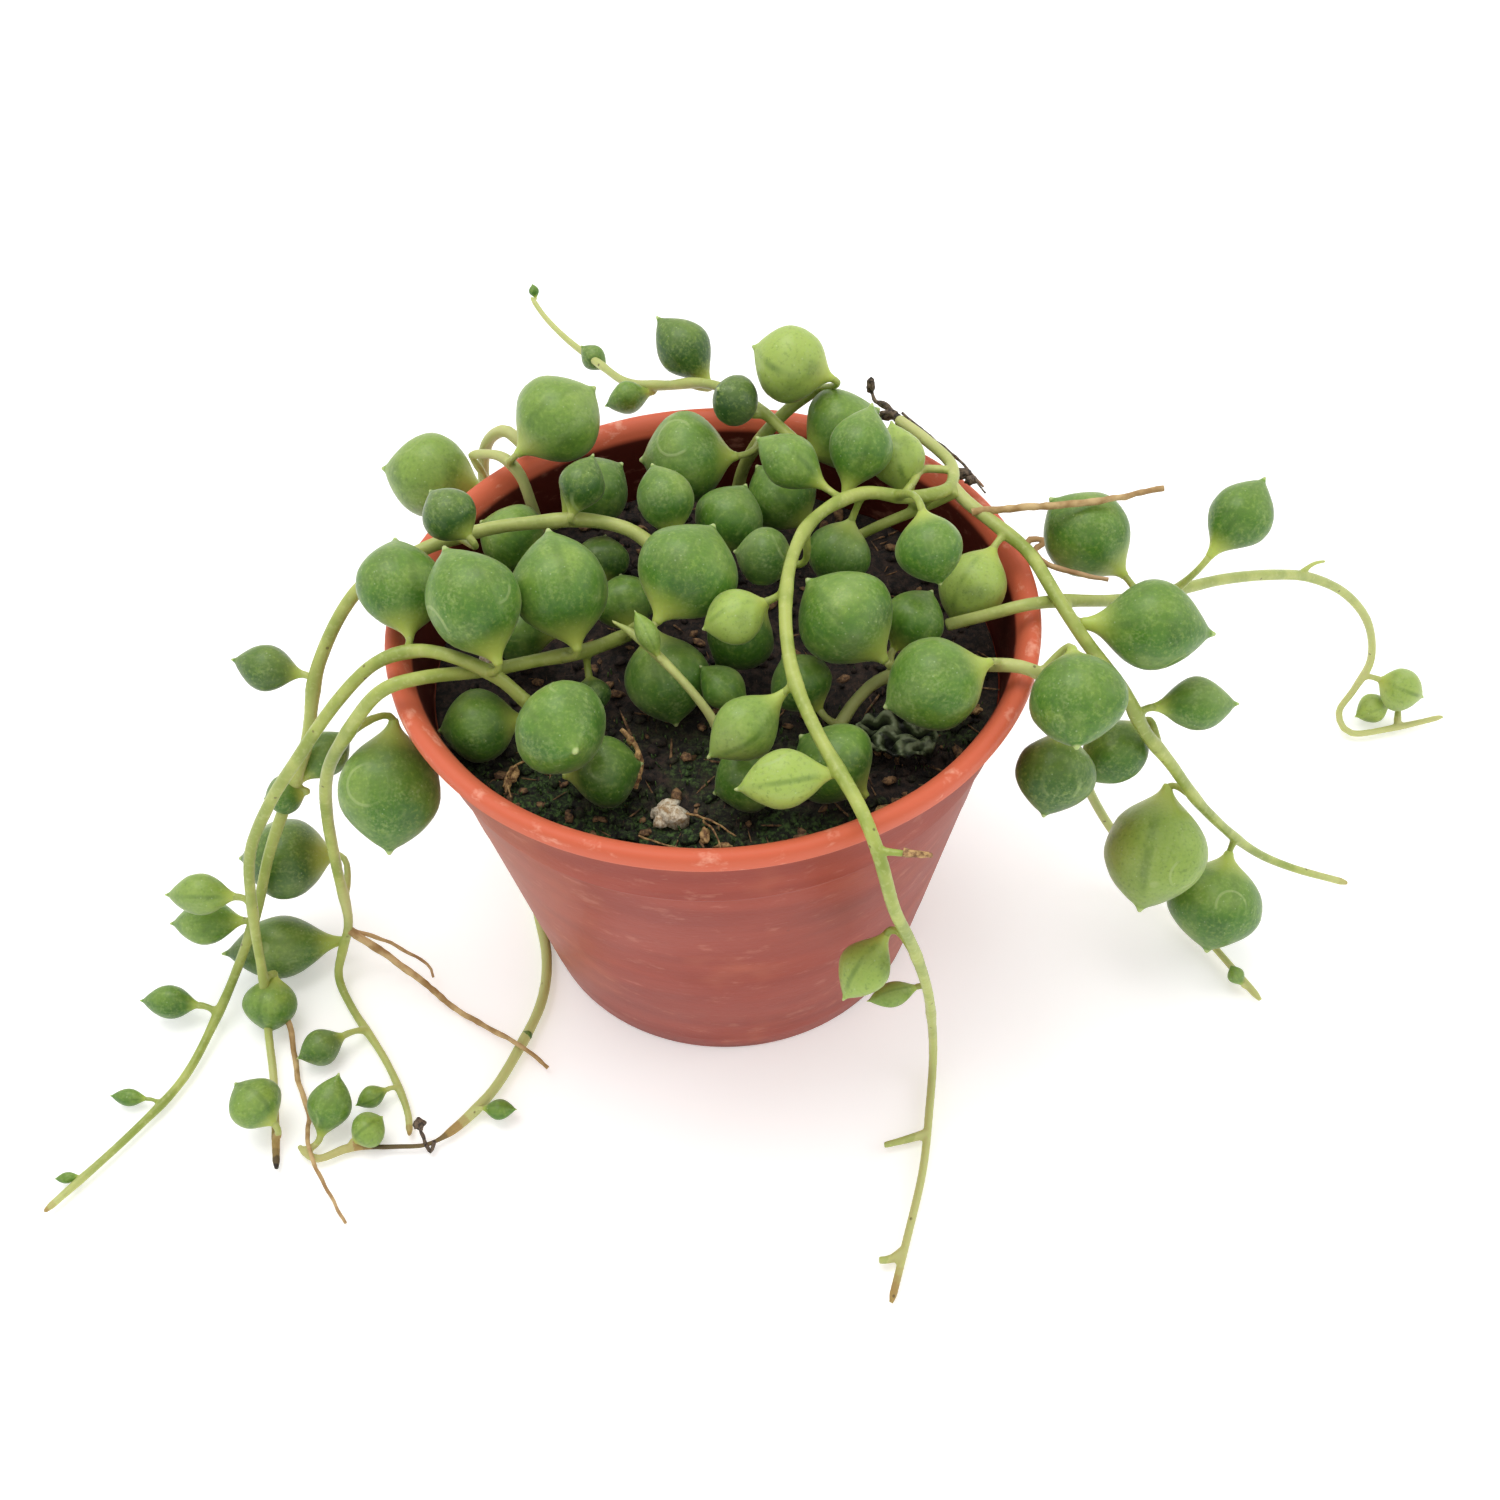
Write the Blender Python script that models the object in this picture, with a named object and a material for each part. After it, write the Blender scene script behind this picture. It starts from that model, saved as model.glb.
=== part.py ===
# String of tears (a trailing succulent) growing in a small plastic nursery pot.
# The pot stands on Z = 0 with its axis on the Z axis. The plant's front is towards -Y.
# Lengths are in millimetres up to the point where a mesh is made, and metres in the scene.
import math

import bmesh
import bpy
from mathutils import Matrix, Vector, noise
from mathutils.geometry import intersect_point_line

MM = 0.001
GAP = 0.3                 # clearance between touching pieces
CLOSEST_CORNERS = 0.0003  # corners nearer than this after a union become one

# Pot
POT_HEIGHT = 62.5
RIM_RADIUS = 42.5         # outer radius of the lip: an 8.5 cm nursery pot
RIM_DEPTH = 2.5           # height of the lip's outer face
COLLAR_RADIUS = 40.0      # outer radius just below the lip
COLLAR_FOOT = 50.0        # height of the small step where the collar ends
COLLAR_FOOT_RADIUS = 38.9
BODY_TOP_RADIUS = 38.4
BASE_RADIUS = 28.75
WALL = 0.9
FLOOR = 1.2
HOLE_COUNT = 6
HOLE_RADIUS = 2.5
HOLE_CIRCLE = 20.0
POT_SEGMENTS = 48

# Soil
SOIL_TOP = 50.7
SOIL_BUMP = 0.5           # the surface rises and falls by this much
SOIL_GRAIN = 7.0          # distance between bumps
SOIL_RINGS = 6
SOIL_SIDES = 36
COLLAR_BEND = 2.0         # the soil's side starts to widen this far below the collar's foot

# Plant
STEM_RADIUS = 0.85
STEM_SIDES = 6
STEM_STEP = 4.5           # distance between rings along a stem
PETIOLE_RADIUS = 0.6
LONGEST_BEND = 3.0        # how far behind a leaf its stalk may swing
LEAF_SIDES = 9
SMALL_LEAF_SIDES = 7
# Leaf outline: (share of the length from the base, share of the half width)
LEAF_RINGS = ((0.02, 0.28), (0.13, 0.72), (0.31, 0.95), (0.5, 1.0), (0.69, 0.86), (0.86, 0.5))

# Routes of the stems, from root or branch to tip: x, y, z in mm
STEMS = {
    "front_vine": [
        (27, 32.5, 66), (30, 27.5, 66.5), (33, 20, 67.5), (31.5, 13, 69), (26, 10.5, 70), (21, 10.5, 71),
        (16.5, 7.5, 72), (12.5, 2.5, 72.5), (10, -4.5, 72.5), (9, -13, 72), (9.5, -21, 70), (12, -29, 68),
        (16, -38, 66), (18, -43, 63), (20, -44, 54), (23, -41, 42), (26, -37.5, 27), (28, -33.5, 11),
        (28.5, -34, 3), (27.5, -40, 1.6), (25.5, -50, 1.5), (22, -61, 1.5), (19.5, -68.5, 1.5),
    ],
    "right_vine": [
        (34.2, 12, 67.5), (38, 7.6, 66.6), (41.2, 2.7, 66.3), (43.6, -5.4, 65.8), (46.7, -10.6, 63),
        (52, -12.5, 56), (56, -12.5, 48), (61, -11.5, 40), (68, -9.5, 28), (78, -6, 14), (86.5, -4, 6),
        (96.5, -4.5, 1.8),
    ],
    "far_right_vine": [
        (30, -4.5, 61), (35, -5, 63), (40, -5.3, 64.8), (45.2, -3.3, 63.3), (53.5, 1, 59), (62, 7, 54.5),
        (72, 14, 50), (82, 20.5, 44.5), (90, 25.5, 39), (98, 29, 32), (104, 30.5, 24), (107.5, 32, 14),
        (106.5, 32, 7), (104.5, 30.5, 3), (106, 27, 1.6), (114, 28, 1.5), (122.5, 30, 1.5),
    ],
    "under_vine": [
        (15, -15, 52.5), (18, -11.5, 55), (22, -9.5, 57), (28.5, -11.5, 59.5), (34, -14.5, 63.5),
        (38.5, -17, 65), (43, -16.5, 60), (48.6, -7, 39.8), (54, -3, 23.5), (61, -2.5, 10), (67, -6, 3.5),
        (72, -13, 1.8), (78, -25, 1.5),
    ],
    "left_vine_a": [
        (-7.5, 8, 65.5), (-11, 10, 67), (-16.5, 11.5, 67.5), (-23, 12, 67), (-30, 11.5, 66.5),
        (-38.5, 8.5, 65.8), (-47, 5.5, 62), (-53.5, 1, 53), (-57, -3, 42), (-61.5, -5.5, 33),
        (-65.5, -8.5, 25), (-69, -12, 16), (-73, -15.5, 8), (-76.5, -21, 3), (-80, -31, 1.6),
        (-86, -40, 1.5), (-95, -51, 1.5),
    ],
    "left_vine_b": [
        (-23.5, -14, 59.5), (-27, -12.9, 63.4), (-32.1, -12.1, 66.4), (-37, -10.5, 66), (-42, -11.5, 65),
        (-47.5, -13.4, 60.3), (-54, -15.1, 52.1), (-60, -15, 43), (-65, -15.5, 33), (-67.5, -17, 20),
        (-68.5, -19.5, 9), (-68.3, -25, 3), (-66.5, -33, 1.5), (-64, -46, 1.5),
    ],
    "left_vine_c": [
        (-11, 0.5, 57), (-16.5, -5.5, 60), (-22.5, -8.8, 61.8), (-28.6, -10.8, 62.4), (-36, -14.8, 65.5),
        (-41, -16.5, 64.8), (-46.8, -15.8, 56.6), (-51.3, -13.8, 47.7), (-54, -12, 37), (-55.5, -11.5, 24),
        (-56.5, -11.5, 12), (-58.5, -12.5, 6), (-59.5, -15, 2.5), (-57, -20, 1.3), (-51, -29, 1.3),
        (-47, -37, 1.3), (-46, -41.5, 1.3),
    ],
    "back_runner": [
        (-26, 32, 64.2), (-29.5, 35, 65), (-33.5, 38, 58), (-35, 38, 40), (-35.5, 35, 18), (-36, 28, 3.5),
        (-35, 18, 1.6), (-32, 7, 1.4), (-30.2, -3, 1.4), (-28.3, -12, 1.4), (-28.6, -20, 1.4),
        (-31.4, -28, 1.4), (-35.5, -36, 1.4), (-42, -42.5, 1.4), (-48, -43.2, 1.4), (-54, -43, 1.4),
        (-58.5, -44.6, 1.4), (-61.5, -42.5, 1.4),
    ],
    "back_left_shoot": [
        (-24.5, 25, 52.5), (-25.5, 25, 60), (-26.5, 26, 64), (-28.5, 27.3, 66), (-31, 29, 65.6),
        (-34, 31, 64),
    ],
    "back_vine": [
        (12, 27, 67.4), (8, 32, 68.5), (4, 38.5, 67.5), (-1, 44, 65.5), (-6.5, 48, 62.5),
        (-12.5, 53.5, 59.5), (-17, 60, 58.5), (-22, 66.5, 58.5), (-26, 72.5, 59), (-28.5, 76.5, 60.5),
    ],
    "back_shoot": [
        (3.5, 33.5, 52.5), (5, 33.3, 58.5), (8, 32.6, 64.3), (11.5, 33.6, 67.8), (16.5, 36.5, 69.8),
    ],
    "cut_shoot": [
        (-12.5, -7.5, 67), (-9, -10, 66), (-3.5, -15.2, 63), (0, -17.8, 58), (0.5, -18, 52),
    ],
}
# Side branches fused with their stem: (stem, route, radius)
BRANCHES = [
    ("front_vine", [(33, 13, 68.6), (28.5, 14.2, 65), (23, 14.5, 62)], 0.7),
    ("front_vine", [(17.6, -42.6, 63.4), (20, -43.6, 64), (23, -43.8, 63.8)], 0.5),
    ("front_vine", [(27, 32.5, 66), (32, 29, 66.2), (36.5, 23, 66)], 0.45),
    ("front_vine", [(26.6, -44.5, 1.5), (23.5, -45.4, 1.6), (20.5, -46.2, 1.6)], 0.75),
    ("front_vine", [(21.8, -61.5, 1.5), (20, -62.6, 1.6), (18.4, -62.8, 1.6)], 0.65),
    ("right_vine", [(35, 11, 67.2), (41, 12, 68.5), (50, 12.8, 70.5), (61, 14.5, 69)], 0.5),
    ("right_vine", [(41.2, 2.7, 66.3), (45, 4, 66.2), (48.5, 3.2, 65.4), (51, 1.8, 63)], 0.4),
    ("left_vine_c", [(-57, -11.6, 10), (-49, -15.5, 5), (-41, -21, 1.3), (-34.6, -25.6, 1.2)], 0.6),
    ("left_vine_c", [(-57, -11.6, 10), (-52, -11.5, 6.5), (-46, -14, 3.5), (-45, -16, 3)], 0.4),
    ("left_vine_b", [(-68.5, -20, 8), (-65.5, -23.5, 3), (-64.4, -28, 1.3), (-62.8, -33, 1.1),
                     (-61, -37.3, 1)], 0.55),
]
# Leaves that are pieces of their own: x, y, z of the middle, heading and tilt of the tip in degrees,
# length and width. Each grows from the nearest place on its stem, or out of the soil.
LEAVES = {
    "back_left_shoot": [
        (-40.5, 33, 58.5, 170, 10, 14.5, 12), (-20.5, 27.5, 72, 30, 25, 13.5, 12.5),
    ],
    "left_vine_a": [
        (-33, 7, 73, 135, 30, 8, 7), (-16.5, 13, 72, 60, 40, 8.5, 6), (-16, 20.5, 65, 35, 25, 11, 9.5),
        (-6, 13, 69, 110, 40, 10, 7.5),
    ],
    "left_vine_b": [
        (-39, -1.5, 68.5, 100, 25, 13.5, 11), (-29, -9.5, 72.5, 120, 40, 15, 11.5),
        (-30, -14, 56, 185, -5, 10.5, 9.5), (-18.4, -24.8, 65.9, -65, 20, 13, 11.5),
    ],
    "left_vine_c": [
        (-18.5, -4, 69.5, 105, 40, 15, 12), (-42, -18.5, 49.5, -95, -40, 16.5, 13),
        (-6.5, -8.5, 57.5, -75, -40, 12.5, 11),
    ],
    "back_shoot": [
        (-3, 27, 65, 180, 0, 13, 12.5), (12, 33, 76, 160, 15, 11.5, 10.5),
    ],
    "back_vine": [
        (19, 30, 66, 25, 20, 12, 11.5),
    ],
    "front_vine": [
        (11, 13.5, 74, 150, 25, 11, 7.2), (7, 2.5, 67.5, 170, 10, 8, 7.5),
        (27.5, -3, 73, -75, -40, 9.5, 8.5), (3.7, -25.3, 66, -150, -25, 11.4, 7.8),
    ],
    "right_vine": [
        (34, 1.4, 62.4, -130, -35, 11.2, 8.8), (53.6, -10.2, 41.6, -145, -30, 11, 8.5),
        (60.6, -14, 24.5, -110, -40, 17.5, 14), (72.3, -14, 11, -110, -40, 14.5, 14),
    ],
    "far_right_vine": [
        (50.5, 10.5, 62, 140, 30, 14, 11.5), (55.5, -8, 63.5, -5, -5, 15, 11),
    ],
    "under_vine": [
        (16.5, -9.5, 67.5, 140, 30, 13.5, 12), (11, -11.5, 58.5, 130, 35, 8.5, 8),
        (27, -18.5, 64.5, -165, -15, 13.5, 11.5), (42.5, -24, 67, -95, -15, 13, 11.5),
        (43, -19, 48, -110, -40, 11.5, 10), (25.5, -5, 62.5, 45, 35, 9, 8),
    ],
    "cut_shoot": [
        (-3, -3, 70.5, 55, 25, 14, 12.5),
    ],
    "soil": [
        (-27.5, 17, 60, 155, 20, 10, 9.5), (-14, -22.5, 56, 5, 5, 9.5, 9),
        (2.5, 14.5, 64, 55, 35, 10.5, 9.5), (10, 21.5, 62, 135, 30, 11, 10),
        (3.5, -3, 59, -140, -30, 10, 9.5), (3.5, -25.5, 56.5, -165, -15, 8.5, 8),
        (14, -25.5, 58.5, 145, 30, 10.5, 10.5), (-11.8, 6, 57.5, 100, 20, 8.5, 8.5),
        (-25.6, 1.6, 57.8, 170, 10, 9.6, 8.6), (-15.5, 15, 57.2, 80, 20, 8, 7.5),
    ],
}
# Smaller leaves, fused with the stem that they grow on: same values
SMALL_LEAVES = {
    "front_vine": [
        (3, -10.4, 69.8, -165, -15, 8.6, 6.9), (8.1, -34.2, 66, -175, -5, 11.5, 6.8),
        (17.5, -39.5, 36, -135, -35, 10, 6.5), (22.5, -32, 18, -170, -10, 7.5, 3.5),
        (26, 19.5, 69, 105, 40, 10.5, 7.5), (20, 16.5, 73.5, 65, 40, 12, 8.5),
        (16.9, 8.2, 62.9, -130, -52, 9.5, 8.5),
    ],
    "right_vine": [
        (62, -12, 52, 0, 0, 11, 7),
    ],
    "far_right_vine": [
        (70.5, 11, 64, 45, 30, 12.5, 8.5), (113.5, 30.5, 8.5, -20, -15, 8, 7),
        (110.5, 31, 3.2, -160, -10, 7, 5),
    ],
    "under_vine": [
        (75, -21.5, 3, 125, 35, 3.5, 2.5),
    ],
    "left_vine_a": [
        (-61.5, 4, 50, 170, 10, 10, 6.5), (-61.5, -5.5, 34, 185, -5, 6, 5.5),
        (-55.9, -1.2, 37, 45, 15, 9.5, 6.5), (-77, -11.5, 13, 180, 0, 11, 7),
        (-83.5, -19.5, 4, 175, 5, 9, 5), (-87, -34, 2, 175, 5, 5.5, 2.5), (-93, -46, 1.6, 185, 0, 3.5, 1.6),
    ],
    "left_vine_b": [
        (-75, -13.5, 22, 175, 0, 10.5, 6), (-68, -21, 5, -100, -40, 8.5, 8),
        (-67, -38.5, 6.5, 140, 30, 8, 7.5),
    ],
    "left_vine_c": [
        (-65.4, -3.6, 17.9, 180, 0, 14, 12), (-68, -11, 5.2, 185, 0, 17.5, 9.5),
        (-60, -27.5, 3.2, -150, 0, 7.5, 5.5), (-51.8, -35.7, 2.3, -150, 0, 5, 3.2),
        (-16, -9, 55.5, -80, -35, 5.2, 4.6),
    ],
    "back_runner": [
        (-57, -38.5, 5, 65, 40, 9.5, 6), (-51.5, -41.5, 3.5, 30, 25, 5.5, 5),
        (-33.5, -38.5, 2.5, -5, 0, 5, 3), (-30.5, -26, 1.5, 60, 20, 2.5, 1.6),
    ],
    "back_vine": [
        (-12, 48.5, 60, -170, -10, 7.5, 5), (4, 30, 72, -155, 50, 8, 7), (-3.5, 51.5, 66, 135, 35, 12.5, 8),
        (-18, 62.5, 58, 145, 30, 5.5, 4), (-28, 77.5, 61, 105, 40, 2.5, 1.6),
    ],
    "cut_shoot": [
        (1.5, -12, 58.5, 145, 30, 6.5, 5),
    ],
}


def srgb(hex_color):
    channels = [int(hex_color[i:i + 2], 16) / 255 for i in (1, 3, 5)]
    return [c / 12.92 if c <= 0.04045 else ((c + 0.055) / 1.055) ** 2.4 for c in channels] + [1.0]


def material(name, hex_color, roughness):
    made = bpy.data.materials.new(name)
    made.use_nodes = True
    shader = made.node_tree.nodes["Principled BSDF"]
    shader.inputs["Base Color"].default_value = srgb(hex_color)
    shader.inputs["Roughness"].default_value = roughness
    shader.inputs["Metallic"].default_value = 0.0
    return made


def add_object(name, bm, finish):
    # Turns a bmesh in millimetres into an object in metres.
    bmesh.ops.recalc_face_normals(bm, faces=bm.faces)
    bmesh.ops.scale(bm, vec=(MM, MM, MM), verts=bm.verts)
    mesh = bpy.data.meshes.new(name)
    bm.to_mesh(mesh)
    bm.free()
    mesh.materials.append(finish)
    mesh.shade_smooth()
    mesh.set_sharp_from_angle(angle=math.radians(40))
    made = bpy.data.objects.new(name, mesh)
    bpy.context.scene.collection.objects.link(made)
    return made


def lathe(profile, segments, lift=None):
    # Turns an open profile of (radius, z) about Z. A point at radius 0 is a pole.
    bm = bmesh.new()
    rings = []
    for radius, z in profile:
        if radius == 0:
            rings.append([bm.verts.new((0, 0, z + (lift(0, 0, z) if lift else 0)))])
            continue
        ring = []
        for i in range(segments):
            angle = 2 * math.pi * i / segments
            x = radius * math.cos(angle)
            y = radius * math.sin(angle)
            ring.append(bm.verts.new((x, y, z + (lift(x, y, z) if lift else 0))))
        rings.append(ring)
    for a, b in zip(rings, rings[1:]):
        join_rings(bm, a, b)
    return bm


def join_rings(bm, a, b):
    if len(a) == 1 and len(b) == 1:
        return
    count = max(len(a), len(b))
    for i in range(count):
        j = (i + 1) % count
        corners = [a[0]] if len(a) == 1 else [a[i], a[j]]
        corners += [b[0]] if len(b) == 1 else [b[j], b[i]]
        bm.faces.new(corners)


def smooth_route(points, step):
    # Reads a smooth curve through the route's points, about one point for each step of length.
    points = [Vector(p) for p in points]
    ends = [2 * points[0] - points[1]] + points + [2 * points[-1] - points[-2]]
    out = []
    for i in range(1, len(ends) - 2):
        before, a, b, after = ends[i - 1:i + 3]
        count = max(1, round((b - a).length / step))
        for k in range(count):
            t = k / count
            out.append(0.5 * (2 * a + (b - before) * t + (2 * before - 5 * a + 4 * b - after) * t * t
                              + (3 * a - before - 3 * b + after) * t ** 3))
    out.append(points[-1])
    return out


def loft(path, radii, sides):
    # A closed skin around a path. A radius of 0 at an end makes a point there.
    bm = bmesh.new()
    side = None
    rings = []
    for i, (point, radius) in enumerate(zip(path, radii)):
        ahead = (path[min(i + 1, len(path) - 1)] - path[max(i - 1, 0)]).normalized()
        if side is None:
            side = ahead.orthogonal().normalized()
        side = (side - ahead * side.dot(ahead)).normalized()
        other = ahead.cross(side)
        if radius == 0:
            rings.append([bm.verts.new(point)])
            continue
        ring = []
        for k in range(sides):
            angle = 2 * math.pi * k / sides
            ring.append(bm.verts.new(point + radius * (math.cos(angle) * side + math.sin(angle) * other)))
        rings.append(ring)
    for a, b in zip(rings, rings[1:]):
        join_rings(bm, a, b)
    for ring in (rings[0], rings[-1]):
        if len(ring) > 1:
            bm.faces.new(ring)
    return bm


def stem_skin(points, radius, sides=STEM_SIDES):
    # A stem of even thickness that narrows over its last third.
    path = smooth_route(points, STEM_STEP)
    last = len(path) - 1
    radii = [radius * (1 - 0.45 * max(0, i / last - 0.66) / 0.34) for i in range(last + 1)]
    return loft(path, radii, sides)


def nearest(point, path):
    # The closest place to the point on the path's straight segments.
    spots = []
    for a, b in zip(path, path[1:]):
        share = intersect_point_line(point, a, b)[1]
        spots.append(a.lerp(b, min(1, max(0, share))))
    return min(spots, key=lambda spot: (spot - point).length)


def leaf_skin(place, root, clearance, sides):
    # A drop-shaped leaf with its stalk, which starts at root less the clearance.
    x, y, z, heading, tilt, length, width = place
    heading = math.radians(heading)
    tilt = math.radians(tilt)
    axis = Vector((math.cos(tilt) * math.cos(heading), math.cos(tilt) * math.sin(heading), math.sin(tilt)))
    base = Vector((x, y, z)) - axis * length / 2
    reach = (root - base).length
    bend = base - axis * min(reach * 0.4, LONGEST_BEND)
    start = root + (bend - root).normalized() * clearance
    path = [start]
    for t in (0.4, 0.75):
        path.append(start * (1 - t) ** 2 + bend * 2 * t * (1 - t) + base * t * t)
    radii = [min(PETIOLE_RADIUS, width * 0.16)] * 3
    for share, wide in LEAF_RINGS:
        path.append(base + axis * length * share)
        radii.append(width / 2 * wide)
    path.append(base + axis * length)
    radii.append(0)
    return loft(path, radii, sides)


def scaled_mesh(bm):
    bmesh.ops.recalc_face_normals(bm, faces=bm.faces)
    mesh = bpy.data.meshes.new("piece")
    bm.to_mesh(mesh)
    bm.free()
    return mesh


def fuse(skins):
    # Joins overlapping skins into one closed skin by Boolean union.
    scene = bpy.context.scene
    whole = bpy.data.objects.new("whole", scaled_mesh(skins[0]))
    scene.collection.objects.link(whole)
    for skin in skins[1:]:
        part = bpy.data.objects.new("part", scaled_mesh(skin))
        scene.collection.objects.link(part)
        union = whole.modifiers.new("union", "BOOLEAN")
        union.operation = "UNION"
        union.solver = "EXACT"
        union.use_self = True
        union.object = part
        bpy.context.view_layer.update()
        evaluated = whole.evaluated_get(bpy.context.evaluated_depsgraph_get())
        mesh = bpy.data.meshes.new_from_object(evaluated)
        whole.modifiers.clear()
        whole.data = mesh
        bpy.data.objects.remove(part)
    bm = bmesh.new()
    bm.from_mesh(whole.data)
    bmesh.ops.remove_doubles(bm, verts=bm.verts, dist=CLOSEST_CORNERS)
    bmesh.ops.dissolve_degenerate(bm, edges=bm.edges, dist=CLOSEST_CORNERS)
    bpy.data.objects.remove(whole)
    return bm


def inner_radius(z):
    # The pot's inner wall below the collar's top.
    foot = BASE_RADIUS - WALL
    return foot + (COLLAR_FOOT_RADIUS - WALL - foot) * z / COLLAR_FOOT


def pot():
    top = POT_HEIGHT
    lip = top - RIM_DEPTH
    edge = 0.5
    profile = [
        (0, 0), (HOLE_CIRCLE - 6, 0), (HOLE_CIRCLE + 6, 0), (BASE_RADIUS - edge, 0), (BASE_RADIUS, edge),
        (BODY_TOP_RADIUS, COLLAR_FOOT - edge), (COLLAR_FOOT_RADIUS, COLLAR_FOOT),
        (COLLAR_RADIUS, lip - 0.3), (COLLAR_RADIUS + 0.4, lip), (RIM_RADIUS - 0.3, lip),
        (RIM_RADIUS, lip + 0.3), (RIM_RADIUS, top - 0.6), (RIM_RADIUS - 0.4, top),
        (RIM_RADIUS - 1.1, top), (COLLAR_RADIUS - 0.1, top - 1.2),
        (COLLAR_RADIUS - WALL - 0.1, lip - 0.3), (COLLAR_FOOT_RADIUS - WALL, COLLAR_FOOT),
        (inner_radius(FLOOR), FLOOR), (HOLE_CIRCLE + 6, FLOOR), (HOLE_CIRCLE - 6, FLOOR), (0, FLOOR),
    ]
    body = add_object("pot", lathe(profile, POT_SEGMENTS), material("terracotta_plastic", "#a9584a", 0.45))
    for i in range(HOLE_COUNT):
        angle = 2 * math.pi * (i + 0.5) / HOLE_COUNT
        cutter = lathe([(0, -2), (HOLE_RADIUS, -2), (HOLE_RADIUS, 4), (0, 4)], 12)
        bmesh.ops.rotate(cutter, matrix=Matrix.Rotation(angle + math.pi / 12, 3, "Z"), verts=cutter.verts)
        place = Vector((HOLE_CIRCLE * math.cos(angle), HOLE_CIRCLE * math.sin(angle), 0))
        bmesh.ops.translate(cutter, vec=place, verts=cutter.verts)
        hole = add_object(f"drain_hole_cutter_{i + 1}", cutter, body.data.materials[0])
        cut = body.modifiers.new(f"drain_hole_{i + 1}", "BOOLEAN")
        cut.operation = "DIFFERENCE"
        cut.object = hole
    bake(body)
    for hole in [o for o in bpy.data.objects if o.name.startswith("drain_hole_cutter")]:
        bpy.data.objects.remove(hole)
    return body


def bake(body):
    # Applies an object's modifiers, so that its cutters can go.
    bpy.context.view_layer.update()
    evaluated = body.evaluated_get(bpy.context.evaluated_depsgraph_get())
    body.data = bpy.data.meshes.new_from_object(evaluated)
    body.modifiers.clear()


def soil_height(x, y, z):
    if z < SOIL_TOP:
        return 0
    return SOIL_BUMP * noise.noise(Vector((x, y, 0)) / SOIL_GRAIN)


def potting_soil():
    foot = FLOOR + GAP
    edge = inner_radius(SOIL_TOP) - GAP
    bend = COLLAR_FOOT - COLLAR_BEND
    profile = [
        (0, foot), (inner_radius(foot) - GAP, foot), (inner_radius(bend) - GAP, bend), (edge, SOIL_TOP),
    ]
    for i in range(1, SOIL_RINGS):
        profile.append((edge * (1 - i / SOIL_RINGS), SOIL_TOP))
    profile.append((0, SOIL_TOP))
    body = lathe(profile, SOIL_SIDES, soil_height)
    return add_object("potting_soil", body, material("peat_soil", "#2a1f18", 0.95))


def lump(name, center, size, finish, seed):
    # An uneven grain, such as perlite or bark.
    bm = bmesh.new()
    bmesh.ops.create_icosphere(bm, subdivisions=2, radius=1)
    for vert in bm.verts:
        swell = 1 + 0.25 * noise.noise(vert.co * 1.7 + Vector((seed, 0, 0)))
        vert.co = Vector((vert.co.x * size[0], vert.co.y * size[1], vert.co.z * size[2])) * swell / 2
        vert.co += Vector(center)
    return add_object(name, bm, finish)


def withered_leaf():
    # A dry, folded leaf lying on the soil: a thin crumpled sheet.
    bm = bmesh.new()
    columns = 7
    rows = 5
    sheets = []
    for thick in (0.0, 0.45):
        sheet = []
        for i in range(columns):
            for j in range(rows):
                u = i / (columns - 1) - 0.5
                v = j / (rows - 1) - 0.5
                x = 9.5 * u
                y = 6.5 * v * (1 - 1.6 * u * u)
                crumple = 1.1 * noise.noise(Vector((x, y, 3)) / 2.4)
                sheet.append(bm.verts.new((22.8 + x, -17.6 + y, 52.4 + crumple + thick)))
        sheets.append(sheet)
    low, high = sheets
    for i in range(columns - 1):
        for j in range(rows - 1):
            a = i * rows + j
            corners = (a, a + rows, a + rows + 1, a + 1)
            bm.faces.new([high[c] for c in corners])
            bm.faces.new([low[c] for c in reversed(corners)])
    border = [i * rows for i in range(columns)]
    border += [(columns - 1) * rows + j for j in range(1, rows)]
    border += [i * rows + rows - 1 for i in range(columns - 2, -1, -1)]
    border += list(range(rows - 2, 0, -1))
    for a, b in zip(border, border[1:] + border[:1]):
        bm.faces.new([low[a], low[b], high[b], high[a]])
    return add_object("withered_leaf", bm, material("withered_leaf", "#2f3324", 0.8))


def plant():
    stem_green = material("stem_green", "#a9b95a", 0.45)
    leaf_green = material("leaf_green", "#4f8a3a", 0.35)
    paths = {name: smooth_route(points, STEM_STEP) for name, points in STEMS.items()}
    for name, points in STEMS.items():
        skins = [stem_skin(points, STEM_RADIUS)]
        skins += [stem_skin(route, radius, 5) for stem, route, radius in BRANCHES if stem == name]
        for place in SMALL_LEAVES.get(name, []):
            root = leaf_root(place, paths[name])
            skins.append(leaf_skin(place, root, 0, SMALL_LEAF_SIDES))
        add_object(name, fuse(skins), stem_green)
    for name, places in LEAVES.items():
        for number, place in enumerate(places, 1):
            if name == "soil":
                root = soil_root(place)
                clearance = 0
            else:
                root = leaf_root(place, paths[name])
                clearance = STEM_RADIUS + GAP
            skin = leaf_skin(place, root, clearance, LEAF_SIDES)
            add_object(f"{name}_leaf_{number}", skin, leaf_green)


def leaf_base(place):
    x, y, z, heading, tilt, length, width = place
    heading = math.radians(heading)
    tilt = math.radians(tilt)
    axis = Vector((math.cos(tilt) * math.cos(heading), math.cos(tilt) * math.sin(heading), math.sin(tilt)))
    return Vector((x, y, z)) - axis * length / 2


def leaf_root(place, path):
    return nearest(leaf_base(place), path)


def soil_root(place):
    base = leaf_base(place)
    return Vector((base.x, base.y, SOIL_TOP + SOIL_BUMP + GAP))


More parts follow.
